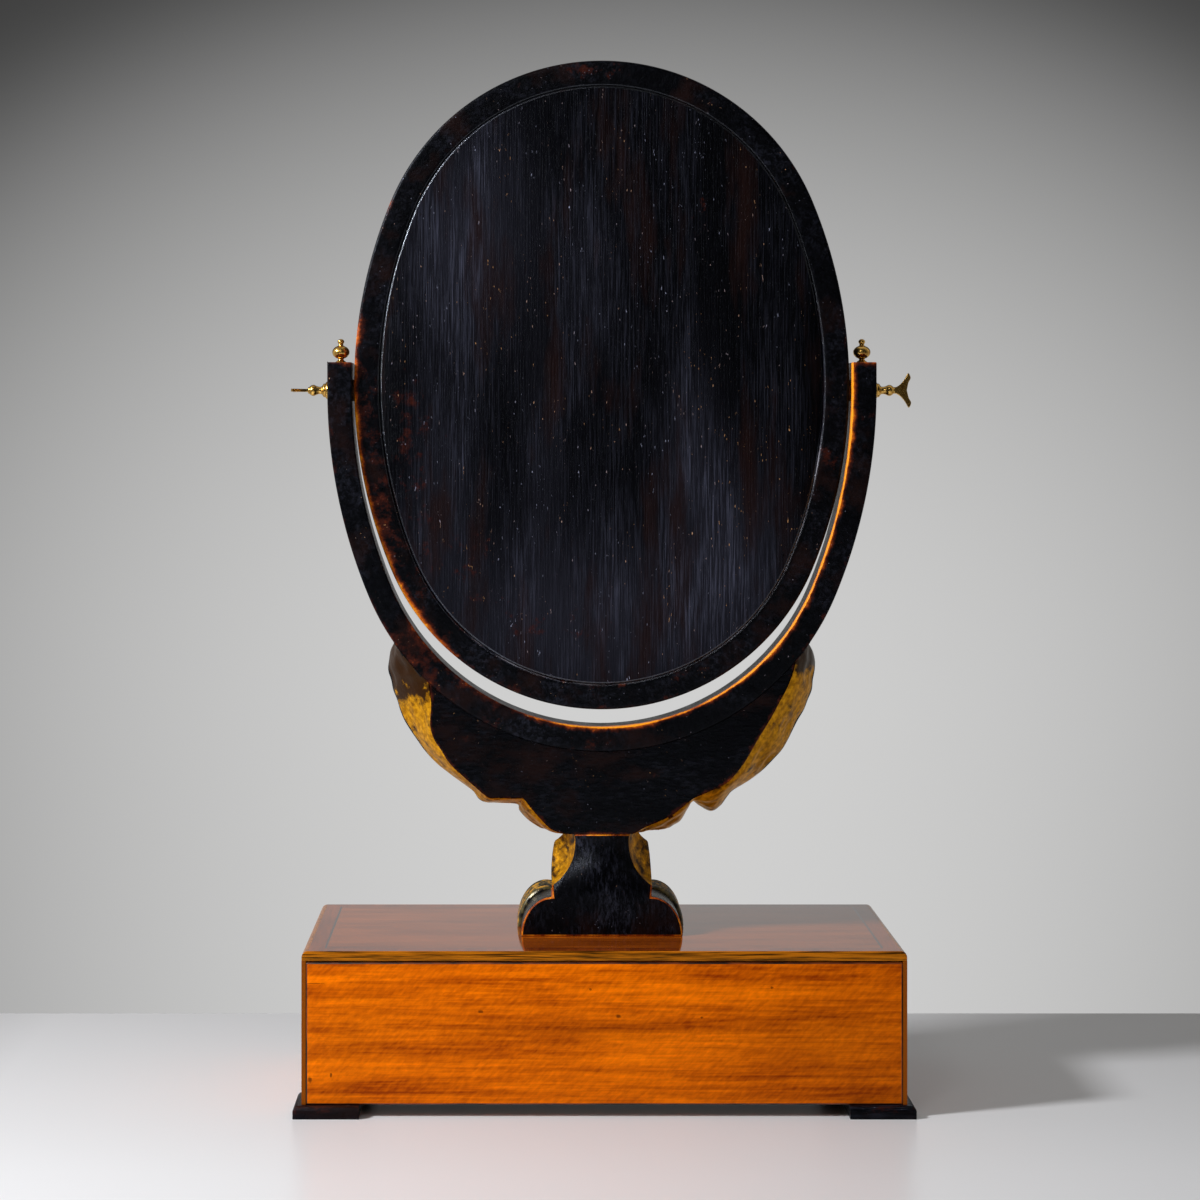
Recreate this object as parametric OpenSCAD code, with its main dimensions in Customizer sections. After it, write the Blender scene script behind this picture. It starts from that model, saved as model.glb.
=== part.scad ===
// Toilet mirror: an oval glass that tilts in a U-shaped yoke, on a carved pedestal and a one-drawer case.
// Millimetres. The front faces -Y, +X is right as seen from the front, and the ground is z = 0.
// The origin is the middle of the case's footprint.

/* [Case] */
// Width of the case
case_w = 430; // [400:5:480]
// Depth of the case
case_d = 210; // [190:5:250]
// Height of the case with its top board, without the feet
case_h = 109; // [104:1:140]
// Thickness of the top board
top_t = 7; // [6:0.5:10]
// Thickness of the side boards
side_t = 9; // [7:0.5:12]
// Thickness of the back panel
back_t = 8; // [6:0.5:10]
// Thickness of the bottom board
bottom_t = 7; // [6:0.5:10]
// Radius on the long side edges of the top board
top_edge_r = 4.5; // [1:0.5:5]
// Side board edge that stays visible beside the back panel
back_strip = 3; // [2:0.5:5]
// Open groove between the top board and the back panel
back_groove = 1; // [0.5:0.25:2]

/* [Top inlay] */
// Thickness of the veneers let into the top board
veneer_t = 0.8; // [0.6:0.1:1.2]
// Solid margin of the top board outside the veneers, at the front and back
inlay_margin = 1.2; // [0.8:0.1:3]
// Width of the crossbanding
crossband_w = 11; // [8:1:20]
// Width of the dark stringing line
string_w = 1.4; // [0.8:0.1:2.5]

/* [Feet] */
// Height of the feet
foot_h = 9; // [7:0.5:14]
// Side of a square foot
foot_w = 47; // [40:1:60]
// How far a foot stands out past the case
foot_out = 6; // [3:0.5:9]
// Radius on the outer top edges of a foot
foot_r = 4; // [1:0.5:5]
// Radius of a foot screw
foot_screw_r = 1.4; // [1:0.1:2]

/* [Drawer] */
// Height of the rail above the drawer
rail_h = 8; // [8:0.5:12]
// Thickness of the rail and of the drawer front
front_t = 18; // [16:0.5:22]
// Width of the kicker strips above the drawer sides
kicker_w = 14; // [10:1:20]
// Gap at each side of the drawer
drawer_side_gap = 0.5; // [0.3:0.1:1]
// Gap under the drawer front
drawer_run_gap = 0.3; // [0.2:0.1:0.6]
// Gap above the drawer front
drawer_top_gap = 0.5; // [0.3:0.1:1.5]
// Gap behind the closed drawer
drawer_rear_gap = 7; // [4:1:15]
// Thickness of the drawer sides
drawer_side_t = 8; // [6:0.5:10]
// Thickness of the drawer back
drawer_back_t = 6.5; // [5:0.5:9]
// Thickness of the drawer bottom
drawer_bottom_t = 5; // [3:0.5:6]
// Height of the drawer bottom above the lower edge of the drawer sides
drawer_bottom_rise = 5.7; // [5:0.1:9]
// How much lower the drawer sides stand than the drawer front
drawer_side_drop = 4.5; // [3:0.5:8]
// Front wood left in front of the dovetails
dovetail_lap = 6; // [4:0.5:8]
// Dovetails in each drawer corner
tail_count = 4; // [3:1:5]
// Depth of the grooves that hold the drawer bottom
bottom_groove = 4; // [2.5:0.5:4.5]

/* [Lock and key] */
// Width of the lock plate
lock_w = 45; // [40:1:60]
// Height of the lock plate
lock_h = 28; // [27:0.5:32]
// Depth of the lock in the drawer front
lock_d = 9; // [8.5:0.1:11]
// Thickness of the lock plate
lock_plate_t = 1.5; // [1:0.1:2]
// Width of the lock case
lock_case_w = 32; // [28:1:34]
// Wall of the lock case
lock_wall = 1; // [0.8:0.1:1.5]
// Depth of the key axis below the drawer front's top edge
key_drop = 17; // [16.5:0.1:18]
// Width of the bolt
bolt_w = 14; // [10:1:18]
// Thickness of the bolt
bolt_t = 3.5; // [3:0.1:4]
// Upward throw of the bolt
bolt_throw = 6; // [4:0.5:6]
// Radius of the lock's drill pin
pin_r = 1; // [0.8:0.05:1.2]
// Radius of the key shank
shank_r = 2.3; // [2:0.1:2.6]
// Reach of the key bit from its axis
bit_reach = 7; // [5:0.25:7]
// Thickness of the key bit
bit_t = 2.6; // [2:0.1:3]
// How far the key stands out in front of the case
key_out = 14; // [12:0.5:20]
// Height of the key bow
bow_h = 17; // [12:0.5:24]
// Width of the escutcheon
escutcheon_w = 17; // [14:0.5:24]
// Height of the escutcheon
escutcheon_h = 25; // [22:0.5:32]
// Thickness of the escutcheon
escutcheon_t = 0.8; // [0.5:0.1:1.5]

/* [Pedestal] */
// Distance of the stand's flat back from the middle of the case
stand_back_y = 42.4; // [30:0.2:60]
// Height of the pedestal
pedestal_h = 74.6; // [66:0.2:100]
// Width of the pedestal's foot at the back
pedestal_w = 118; // [110:1:140]
// Height of the pedestal's foot at the back
pedestal_foot_h = 28.6; // [24:0.2:34]
// Width of the pedestal's neck
neck_w = 72; // [66:1:84]
// Depth of the pedestal at its foot
pedestal_d = 60; // [54:1:72]
// Radius of the scooped hollows at the back of the neck
scoop_r = 38; // [34:0.5:40]
// Radius of the foot scrolls
scroll_r = 22; // [19:0.5:23]
// Length of the foot scrolls from front to back
scroll_len = 38; // [30:1:44]
// Distance of each scroll's axis from the middle
scroll_x = 40; // [38:0.5:44]
// Height of the scroll axes above the case
scroll_z = 15; // [13:0.5:18]
// Ribs carved round each scroll
scroll_ribs = 5; // [3:1:7]
// Depth of the grooves between the ribs
rib_depth = 1.3; // [0.6:0.1:2]
// Radius of the dowels between pedestal and board
dowel_r = 4; // [3:0.5:5]
// Length of the dowels
dowel_len = 36; // [24:1:44]
// Radius of the screws that hold the stand
stand_screw_r = 2.2; // [1.6:0.1:2.6]
// Length of the screws inside the pedestal
stand_screw_len = 20; // [14:1:22]

/* [Yoke] */
// Gap between the mirror and each arm at the pivots
arm_gap = 1.3; // [0.6:0.1:3]
// Gap between the mirror and the yoke at the bottom
bottom_gap = 12.4; // [8:0.4:20]
// Width of the band as seen from the front
band_w = 18; // [15:0.5:24]
// Depth of the band from front to back
yoke_d = 35; // [28:0.5:42]
// Height of the arms above the pivots
arm_rise = 20.4; // [16:0.2:30]
// Bevel on the arrises of the band
arris = 0.7; // [0.4:0.1:1.5]
// Height of the board between the band and the pedestal
board_h = 60.3; // [58:0.1:66]

/* [Mirror] */
// Width of the oval frame
mirror_w = 363.4; // [340:0.2:380]
// Height of the oval frame
mirror_h = 476; // [460:1:500]
// Height of the oval's centre above the pivots
oval_rise = 3.8; // [0:0.2:6]
// Thickness of the oval frame
frame_t = 24; // [22:0.5:28]
// Width of the rim at the back
rim_w = 18.6; // [17:0.2:22]
// Width of the frame's face at the front
face_w = 27; // [25:0.5:32]
// Thickness of the lip in front of the glass
lip_t = 4; // [3:0.5:6]
// How far the lip's face lies behind the frame's front
lip_back = 4; // [3:0.5:5]
// Radius of the roll along the frame's outer edge
roll_r = 9; // [7:0.5:10]
// Width of the flat beside the roll
flat_w = 4; // [3:0.5:5]
// Radius of the hollow beside the lip
hollow_r = 6; // [5:0.5:7]
// Rounding of the rim's back edge and of the lip
rim_round = 1.2; // [0.8:0.2:1.6]
// Thickness of the glass
glass_t = 3; // [2:0.5:4]
// Gap round the glass in its rebate
glass_gap = 0.8; // [0.4:0.1:1.5]
// Thickness of the back board
board_t = 7.8; // [5:0.2:9]
// How far the back board stands proud of the rim
board_proud = 1.8; // [0:0.2:3]
// Gap round the back board
board_gap = 0.4; // [0.2:0.1:1]
// Length of a packing block
block_w = 22; // [14:1:30]
// Width of a packing block
block_d = 9; // [7:0.5:12]
// Width of the gilt slip inside the frame
slip_w = 5; // [3:0.5:8]
// Packing blocks round the glass
block_count = 8; // [4:2:12]
// Radius of the pins that hold the back board
board_pin_r = 0.8; // [0.5:0.1:1.2]

/* [Brass fittings] */
// Radius of a thumbscrew's shank
screw_r = 2.5; // [2:0.1:3]
// Reach of the shank inside the frame
screw_in = 13.5; // [10:0.5:15]
// Radius of a thumbscrew's flange
flange_r = 6.5; // [5:0.5:8]
// How far a thumbscrew stands out from its arm
thumb_out = 27; // [24:0.5:34]
// Height of a thumbscrew's fish tail
tail_h = 26; // [20:0.5:32]
// Thickness of a fish tail
tail_t = 2.2; // [1.5:0.1:3]
// Turn of the left thumbscrew about its axis
left_turn = 8; // [0:1:180]
// Turn of the right thumbscrew about its axis
right_turn = 90; // [0:1:180]
// Gap between a thumbscrew's flange and its arm
flange_gap = 0.2; // [0.1:0.05:0.5]
// Height of a finial
finial_h = 17.5; // [15:0.5:24]
// Largest radius of a finial
finial_r = 6.3; // [4.5:0.1:7.5]
// Length of a finial's spigot
finial_spigot = 8; // [5:0.5:9]
// Radius of a finial's spigot
spigot_r = 1.5; // [1:0.1:2]
// Length of a pivot plate
plate_h = 34; // [28:1:40]
// Width of a pivot plate
plate_w = 12; // [10:0.5:14]
// Thickness of a pivot plate
plate_t = 2.4; // [1.5:0.1:3]
// Radius of a pivot washer
washer_r = 8; // [6:0.5:9]

/* [Carving] */
// Height of the leaf carving in front of the band
leaf_relief = 9; // [6:0.5:12]
// Thickness of the leaves at their edges
leaf_edge = 2.2; // [1.5:0.1:3]
// Lobes along each side of a large leaf
leaf_lobes = 6; // [4:1:8]
// Petals of the palmette
petals = 9; // [7:2:11]

/* [Hidden] */

// Roundness of turned and bored surfaces
round_fn = 96;
// Roundness of small screws
small_fn = 32;
// A cut runs this far past the surface that it opens
past = 1;
// A screw or pin has this much air round it in its hole
hole_air = 0.05;
// Screw heads lie this far below the surface
screw_sink = 0.5;

// Foot screws stand this far inside the side boards and the back panel
foot_screw_side = 10;
foot_screw_back = 12;

// Case levels and faces
foot_screw_x = case_w / 2 - side_t - foot_screw_side;
foot_screw_y = case_d / 2 - back_t - foot_screw_back;
half_w = case_w / 2;
half_d = case_d / 2;
case_top_z = foot_h + case_h;
top_under_z = case_top_z - top_t;
inner_w = half_w - side_t;
back_in_y = half_d - back_t;
floor_z = foot_h + bottom_t;
rail_under_z = top_under_z - rail_h;

// Drawer levels and faces
drawer_z = floor_z + drawer_run_gap;
drawer_top_z = rail_under_z - drawer_top_gap;
drawer_x = inner_w - drawer_side_gap;
drawer_side_top_z = drawer_top_z - drawer_side_drop;
drawer_rear_y = back_in_y - drawer_rear_gap;
drawer_in_x = drawer_x - drawer_side_t;
drawer_bottom_z = drawer_z + drawer_bottom_rise;
front_in_y = -half_d + front_t;
tail_front_y = -half_d + dovetail_lap;

// Air round the moving lock pieces
lock_air = 0.2;
key_air = 0.4;
bore_air = 0.08;
// Room round the thrown bolt behind the rail
notch_air = 1;
// Gaps behind the bit, behind the bolt, under the bolt and behind the key's tip
bit_gap = 1.2;
bolt_gap = 1.8;
bolt_lift = 0.5;
tip_gap = 0.6;
// Lock case floor above the plate's lower edge
lock_step = 2;

// Lock and key places
lock_rear_y = front_in_y;
lock_front_y = front_in_y - lock_d;
plate_front_y = lock_rear_y - lock_plate_t;
key_z = drawer_top_z - key_drop;
case_wall_y = lock_front_y + lock_air;
lock_floor_z = drawer_top_z - lock_h + lock_step;
bit_front_y = case_wall_y + lock_wall + key_air;
bit_rear_y = plate_front_y - bit_gap;
bolt_y = plate_front_y - bolt_gap - bolt_t;
bolt_bottom_z = key_z + bit_reach + bolt_lift;
bolt_top_z = drawer_top_z - lock_air;
rail_rear_y = bolt_y - notch_air;
key_bore_r = pin_r + bore_air;
key_tip_y = plate_front_y - tip_gap;

// Ovals are drawn with compasses from a 5-12-13 triangle: from the half width a and a step k, the
// end arcs have the radius a - k and centres 5 k from the middle, and the side arcs the radius
// a + 12 k. The arcs meet on the lines through their centres, and the oval is 2 (a + 4 k) long.
// Both numbers are kept to whole thousandths, so that the arcs meet exactly.
function thousandths(x) = round(x * 1000) / 1000;
oval_a = thousandths(mirror_w / 2);
oval_step = thousandths((mirror_h / 2 - oval_a) / 4);
mirror_end_r = oval_a - oval_step;
oval_offset = 5 * oval_step;
oval_side_r = oval_a + 12 * oval_step;
yoke_a = thousandths(oval_a + arm_gap);
yoke_step = thousandths((mirror_h / 2 - oval_rise + bottom_gap - yoke_a) / 4);
yoke_end_r = yoke_a - yoke_step;
yoke_end_drop = 5 * yoke_step;
yoke_side_r = yoke_a + 12 * yoke_step;
oval_join = atan(5 / 12);

// Depth of the scrolls' beds in the pedestal's foot
scroll_bed = 18.4;
// The foot's front leans back from this far below the scrolls' tops
knee_drop = 6;
// Middle of a scoop, outside the neck, behind the back and below the pedestal's top
scoop_out = 21;
scoop_back = 6;
scoop_drop = 6;
// Depth of the pivot plates below the rim
plate_sink = 0.35;

// Stand levels
pedestal_top_z = case_top_z + pedestal_h;
yoke_centre_z = pedestal_top_z + board_h + band_w + yoke_end_r;
pivot_z = yoke_centre_z + yoke_end_drop;
stand_front_y = stand_back_y - yoke_d;
pivot_y = stand_back_y - yoke_d / 2;
arm_in_x = yoke_a;
arm_out_x = arm_in_x + band_w;
yoke_out_r = yoke_end_r + band_w;
foot_front_y = stand_back_y - pedestal_d;
scroll_back_y = foot_front_y + scroll_bed;
pedestal_knee_z = scroll_z + scroll_r - knee_drop;
plate_out_x = oval_a - plate_sink;
neck_step_y = 6;
neck_step_z = 12;

oval_z = pivot_z + oval_rise;

// Mirror layers, measured forwards from the middle of the frame's thickness
frame_back = -frame_t / 2;
glass_front = frame_t / 2 - lip_t - lip_back;
glass_back = glass_front - glass_t;
board_back = frame_back - board_proud;
board_front = board_back + board_t;

// Points on an arc, and a smooth curve through a list of points
function arc_points(centre, r, from, to, steps) =
    [for (i = [0:steps]) let (a = from + (to - from) * i / steps) centre + r * [cos(a), sin(a)]];
function blend(a, b, c, d, t) =
    0.5 * (2 * b + (c - a) * t + (2 * a - 5 * b + 4 * c - d) * t * t + (3 * b - a - 3 * c + d) * t * t * t);
function point_at(list, i) = list[max(0, min(len(list) - 1, i))];
function smooth_at(list, s) =
    let (i = min(len(list) - 2, floor(s)))
    blend(point_at(list, i - 1), point_at(list, i), point_at(list, i + 1), point_at(list, i + 2), s - i);
function smooth(list, steps) =
    [for (i = [0:(len(list) - 1) * steps]) smooth_at(list, i / steps)];
function tent(x) = abs(x - round(x)) * 2;

// A board between two corners
module board(from, to) {
    translate(from)
        cube(to - from);
}

// Turns a shape drawn flat into one that stands in the XZ plane, with its height running forwards
module upright(y = 0) {
    translate([0, y, 0])
        rotate([90, 0, 0])
            children();
}

// A keyhole outline: round above, slotted below
module keyhole(depth, air) {
    cylinder(r = shank_r + air, h = depth, $fn = small_fn);
    translate([-bit_t / 2 - air, -bit_reach - air, 0])
        cube([bit_t + 2 * air, bit_reach + air, depth]);
}

// A wood screw that points along +Z, with its countersunk head at z = 0. With air round it, it is
// the hole for the screw, and opens past the head.
module wood_screw(r, length, air = 0) {
    cylinder(r1 = 2 * r + air, r2 = r + air, h = r, $fn = small_fn);
    cylinder(r = r + air, h = length + air, $fn = small_fn);
    if (air > 0)
        translate([0, 0, -past])
            cylinder(r = 2 * r + air, h = past, $fn = small_fn);
}

// Case

module inlay_board(inset, depth, above = 0) {
    x = half_w - top_edge_r - inset;
    y = half_d - inlay_margin - inset;
    board([-x, -y, case_top_z - depth], [x, y, case_top_z + above]);
}

module case_top() {
    corner = arc_points([half_w - top_edge_r, top_t - top_edge_r], top_edge_r, 0, 90, 8);
    mirrored = [for (i = [len(corner) - 1:-1:0]) [-corner[i].x, corner[i].y]];
    color("sienna")
        difference() {
            translate([0, half_d, top_under_z])
                rotate([90, 0, 0])
                    linear_extrude(case_d)
                        polygon(concat([[-half_w, 0], [half_w, 0]], corner, mirrored));
            inlay_board(0, veneer_t, past);
            at_stand_screws(hole_air);
        }
}

module inlay_ring(inset, width) {
    difference() {
        inlay_board(inset, veneer_t);
        inlay_board(inset + width, veneer_t + past, past);
    }
}

module top_crossbanding() {
    color("saddlebrown")
        inlay_ring(0, crossband_w);
}

module top_stringing() {
    color("black")
        inlay_ring(crossband_w, string_w);
}

module top_field() {
    color("chocolate")
        difference() {
            inlay_board(crossband_w + string_w, veneer_t);
            at_stand_screws(hole_air);
        }
}

module case_side() {
    difference() {
        board([inner_w, -half_d, foot_h], [half_w, half_d, top_under_z]);
        board([inner_w - past, back_in_y, foot_h - past],
            [half_w - back_strip, half_d + past, top_under_z + past]);
    }
}

module case_left_side() {
    color("peru")
        mirror([1, 0, 0])
            case_side();
}

module case_right_side() {
    color("peru")
        case_side();
}

module case_back() {
    color("darkorange")
        board([back_strip - half_w, back_in_y, foot_h],
            [half_w - back_strip, half_d, top_under_z - back_groove]);
}

module case_bottom() {
    color("burlywood")
        difference() {
            board([-inner_w, -half_d, foot_h], [inner_w, back_in_y, floor_z]);
            at_foot_screws(hole_air);
        }
}

// The rail is faced with the case's wood. The pine blocks behind it leave room for the bolt
module upper_rail() {
    color("peru")
        board([-inner_w, -half_d, rail_under_z], [inner_w, rail_rear_y, top_under_z]);
}

module rail_blocks() {
    color("burlywood")
        for (side = [0, 1])
            mirror([side, 0, 0])
                board([bolt_w / 2 + notch_air, rail_rear_y, rail_under_z], [inner_w, front_in_y, top_under_z]);
}

module kicker_strips() {
    color("burlywood")
        for (side = [0, 1])
            mirror([side, 0, 0])
                board([inner_w - kicker_w, front_in_y, rail_under_z], [inner_w, back_in_y, top_under_z]);
}

module drawer_stops() {
    stop_x = inner_w * 0.6;
    stop_w = 24;
    stop_d = 12;
    color("burlywood")
        for (side = [0, 1])
            mirror([side, 0, 0])
                board([stop_x - stop_w / 2, front_in_y + drawer_run_gap, floor_z],
                    [stop_x + stop_w / 2, front_in_y + drawer_run_gap + stop_d, drawer_bottom_z - 1]);
}

// Feet

module at_foot_screws(air) {
    for (x = [-1, 1])
        for (y = [-1, 1])
            translate([x * foot_screw_x, y * foot_screw_y, screw_sink])
                wood_screw(foot_screw_r, foot_h + bottom_t - screw_sink - 2, air);
}

module foot_profile() {
    polygon(concat([[0, 0], [foot_w, 0]],
        arc_points([foot_w - foot_r, foot_h - foot_r], foot_r, 0, 90, 6),
        [[0, foot_h]]));
}

module foot(x_side, y_side) {
    difference() {
        mirror([x_side < 0 ? 1 : 0, 0, 0])
            mirror([0, y_side < 0 ? 1 : 0, 0])
                translate([half_w + foot_out - foot_w, half_d + foot_out - foot_w, 0])
                    intersection() {
                        translate([0, foot_w, 0])
                            rotate([90, 0, 0])
                                linear_extrude(foot_w)
                                    foot_profile();
                        rotate([90, 0, 90])
                            linear_extrude(foot_w)
                                foot_profile();
                    }
        at_foot_screws(hole_air);
    }
}

module foot_front_left() {
    color("black")
        foot(-1, -1);
}

module foot_front_right() {
    color("black")
        foot(1, -1);
}

module foot_rear_left() {
    color("black")
        foot(-1, 1);
}

module foot_rear_right() {
    color("black")
        foot(1, 1);
}

module foot_screws() {
    color("dimgray")
        at_foot_screws(0);
}

// Drawer

module tails(depth, air) {
    span = (drawer_side_top_z - drawer_z) / tail_count;
    for (i = [0:tail_count - 1])
        translate([0, 0, drawer_z + span * (i + 0.5)])
            rotate([90, 0, 90])
                translate([0, 0, -air])
                    linear_extrude(drawer_side_t + 2 * air)
                        polygon([[-past, -span * 0.2 - air], [depth + air, -span * 0.32 - air],
                            [depth + air, span * 0.32 + air], [-past, span * 0.2 + air]]);
}

module front_tails(air) {
    translate([drawer_in_x, front_in_y, 0])
        mirror([0, 1, 0])
            tails(front_t - dovetail_lap, air);
}

module rear_tails(air) {
    translate([drawer_in_x, drawer_rear_y - drawer_back_t, 0])
        tails(drawer_back_t, air);
}

module drawer_side() {
    union() {
        difference() {
            board([drawer_in_x, front_in_y, drawer_z],
                [drawer_x, drawer_rear_y - drawer_back_t, drawer_side_top_z]);
            board([drawer_in_x - past, front_in_y - past, drawer_bottom_z],
                [drawer_in_x + bottom_groove, drawer_rear_y + past, drawer_bottom_z + drawer_bottom_t]);
        }
        difference() {
            union() {
                front_tails(0);
                rear_tails(0);
            }
            board([drawer_in_x - past, tail_front_y - past, drawer_bottom_z],
                [drawer_in_x + bottom_groove, drawer_rear_y + past, drawer_bottom_z + drawer_bottom_t]);
        }
    }
}

module drawer_left_side() {
    color("wheat")
        mirror([1, 0, 0])
            drawer_side();
}

module drawer_right_side() {
    color("wheat")
        drawer_side();
}

module drawer_front() {
    color("darkorange")
        difference() {
            board([-drawer_x, -half_d, drawer_z], [drawer_x, front_in_y, drawer_top_z]);
            for (side = [0, 1])
                mirror([side, 0, 0])
                    front_tails(hole_air);
            board([-drawer_in_x - bottom_groove, front_in_y - bottom_groove, drawer_bottom_z],
                [drawer_in_x + bottom_groove, front_in_y + past, drawer_bottom_z + drawer_bottom_t]);
            board([-lock_case_w / 2 - 0.1, lock_front_y, lock_floor_z - 0.1],
                [lock_case_w / 2 + 0.1, front_in_y + past, drawer_top_z + past]);
            board([-lock_w / 2 - 0.05, plate_front_y, drawer_top_z - lock_h - 0.05],
                [lock_w / 2 + 0.05, front_in_y + past, drawer_top_z + past]);
            board([-lock_w / 2 - 0.05, lock_front_y, drawer_top_z - lock_plate_t],
                [lock_w / 2 + 0.05, front_in_y + past, drawer_top_z + past]);
            translate([0, 0, key_z])
                upright(lock_front_y + past)
                    keyhole(front_t, key_air + 0.1);
            at_lock_screws(hole_air);
        }
}

module drawer_back() {
    back_drop = 3;
    color("wheat")
        difference() {
            board([-drawer_x, drawer_rear_y - drawer_back_t, drawer_bottom_z + drawer_bottom_t],
                [drawer_x, drawer_rear_y, drawer_side_top_z - back_drop]);
            for (side = [0, 1])
                mirror([side, 0, 0])
                    rear_tails(hole_air);
        }
}

module drawer_bottom() {
    bottom_air = 0.15;
    color("tan")
        board([-drawer_in_x - bottom_groove + bottom_air, front_in_y - bottom_groove + bottom_air,
                drawer_bottom_z + bottom_air],
            [drawer_in_x + bottom_groove - bottom_air, drawer_rear_y - drawer_back_t - bottom_air,
                drawer_bottom_z + drawer_bottom_t]);
}

// Lock and key

module at_lock_screws(air) {
    x = (lock_w + lock_case_w) / 4;
    for (side = [-1, 1])
        for (z = [drawer_top_z - lock_h + 5, drawer_top_z - 7])
            translate([side * x, lock_rear_y, z])
                rotate([90, 0, 0])
                    wood_screw(1, 8, air);
}

module lock_screws() {
    color("darkgoldenrod")
        at_lock_screws(0);
}

module lock_plate() {
    color("goldenrod")
        difference() {
            union() {
                board([-lock_w / 2, plate_front_y, drawer_top_z - lock_h],
                    [lock_w / 2, lock_rear_y, drawer_top_z]);
                board([-lock_w / 2, lock_front_y + 0.05, drawer_top_z - lock_plate_t + 0.05],
                    [lock_w / 2, plate_front_y, drawer_top_z]);
            }
            bolt_slot();
            at_lock_screws(hole_air);
            translate([0, 0, key_z])
                upright(lock_rear_y + past)
                    cylinder(r = pin_r, h = 2 * past + lock_plate_t, $fn = small_fn);
        }
}

module bolt_slot() {
    slot_air = 0.1;
    board([-bolt_w / 2 - slot_air, bolt_y - slot_air, drawer_top_z - lock_plate_t - lock_wall - past],
        [bolt_w / 2 + slot_air, bolt_y + bolt_t + slot_air, drawer_top_z + past]);
}

module lock_case() {
    case_ceiling_z = drawer_top_z - lock_plate_t;
    color("darkgoldenrod")
        difference() {
            board([-lock_case_w / 2, case_wall_y, lock_floor_z],
                [lock_case_w / 2, plate_front_y, case_ceiling_z]);
            board([-lock_case_w / 2 + lock_wall, case_wall_y + lock_wall, lock_floor_z + lock_wall],
                [lock_case_w / 2 - lock_wall, plate_front_y + past, case_ceiling_z - lock_wall]);
            bolt_slot();
            translate([0, 0, key_z])
                upright(case_wall_y + lock_wall + past / 2)
                    keyhole(lock_wall + past, key_air);
        }
}

module lock_pin() {
    color("silver")
        translate([0, 0, key_z])
            upright(lock_rear_y)
                cylinder(r = pin_r, h = lock_plate_t + lock_d - 1, $fn = small_fn);
}

module lock_bolt() {
    color("silver")
        board([-bolt_w / 2, bolt_y, bolt_bottom_z], [bolt_w / 2, bolt_y + bolt_t, bolt_top_z]);
}

module escutcheon() {
    color("gold")
        difference() {
            translate([0, 0, key_z - bit_reach / 2])
                upright(-half_d)
                    intersection() {
                        lens_r = (escutcheon_h * escutcheon_h / 4 + escutcheon_w * escutcheon_w / 4) / escutcheon_w;
                        for_each_side(lens_r - escutcheon_w / 2)
                            cylinder(r = lens_r, h = escutcheon_t, $fn = round_fn);
                        translate([-escutcheon_w, -escutcheon_h / 2 + 0.8, 0])
                            cube([2 * escutcheon_w, escutcheon_h - 1.6, escutcheon_t]);
                    }
            translate([0, 0, key_z])
                upright(-half_d + past)
                    keyhole(escutcheon_t + 2 * past, key_air);
        }
}

// Keeps only what the two copies, moved apart by the offset, have in common
module for_each_side(offset) {
    intersection() {
        translate([offset, 0, 0])
            children();
        translate([-offset, 0, 0])
            children();
    }
}

module key() {
    collar_y = -half_d - 2.2;
    bow_out = key_out - 2.2 - 1.6;
    color("silver")
        translate([0, 0, key_z])
            difference() {
                union() {
                    upright(key_tip_y)
                        cylinder(r = shank_r, h = key_tip_y - collar_y, $fn = small_fn);
                    upright(collar_y)
                        cylinder(r = shank_r + 0.9, h = 1.6, $fn = small_fn);
                    board([-bit_t / 2, bit_front_y, -bit_reach], [bit_t / 2, bit_rear_y, 0]);
                    key_bow(collar_y - 1.6 + 0.4, bow_out + 0.4);
                }
                upright(key_tip_y + past)
                    cylinder(r = key_bore_r, h = lock_d + past, $fn = small_fn);
            }
}

// A flat ring of two round lobes above and below the shank
module key_bow(from_y, out) {
    lobe_r = bow_h / 4 + 0.8;
    bow_t = 2.4;
    translate([0, from_y, 0])
        rotate([90, 0, 90])
            translate([0, 0, -bow_t / 2])
                difference() {
                    union() {
                        for (side = [-1, 1])
                            translate([-out + lobe_r, side * (bow_h / 2 - lobe_r), 0])
                                cylinder(r = lobe_r, h = bow_t, $fn = small_fn);
                        translate([-out + 1.2, -1.5, 0])
                            cube([out - 1.2, 3, bow_t]);
                    }
                    for (side = [-1, 1])
                        translate([-out + lobe_r, side * (bow_h / 2 - lobe_r), -past])
                            cylinder(r = lobe_r - 2, h = bow_t + 2 * past, $fn = small_fn);
                }
}

// Pedestal

function pedestal_half() =
    let (foot = pedestal_w / 2, neck = neck_w / 2, rise = pedestal_foot_h, run = foot - neck)
    concat([for (a = [0:15:90]) [neck + run * cos(a), rise * sin(a)]],
        smooth([[neck, rise * 1.035], [neck * 1.022, rise + (pedestal_h - rise) * 0.3],
            [neck * 0.994, rise + (pedestal_h - rise) * 0.65], [neck * 0.928, pedestal_h]], 3));

module pedestal_solid() {
    half = pedestal_half();
    other = [for (i = [len(half) - 1:-1:0]) [-half[i].x, half[i].y]];
    intersection() {
        upright(stand_back_y)
            linear_extrude(pedestal_d)
                polygon(concat(half, other));
        rotate([90, 0, 90])
            translate([0, 0, -pedestal_w])
                linear_extrude(2 * pedestal_w)
                    polygon([[foot_front_y, 0], [stand_back_y + past, 0], [stand_back_y + past, pedestal_h],
                        [stand_front_y, pedestal_h], [stand_front_y - neck_step_y, pedestal_h - neck_step_z],
                        [foot_front_y, pedestal_knee_z]]);
    }
}

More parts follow.
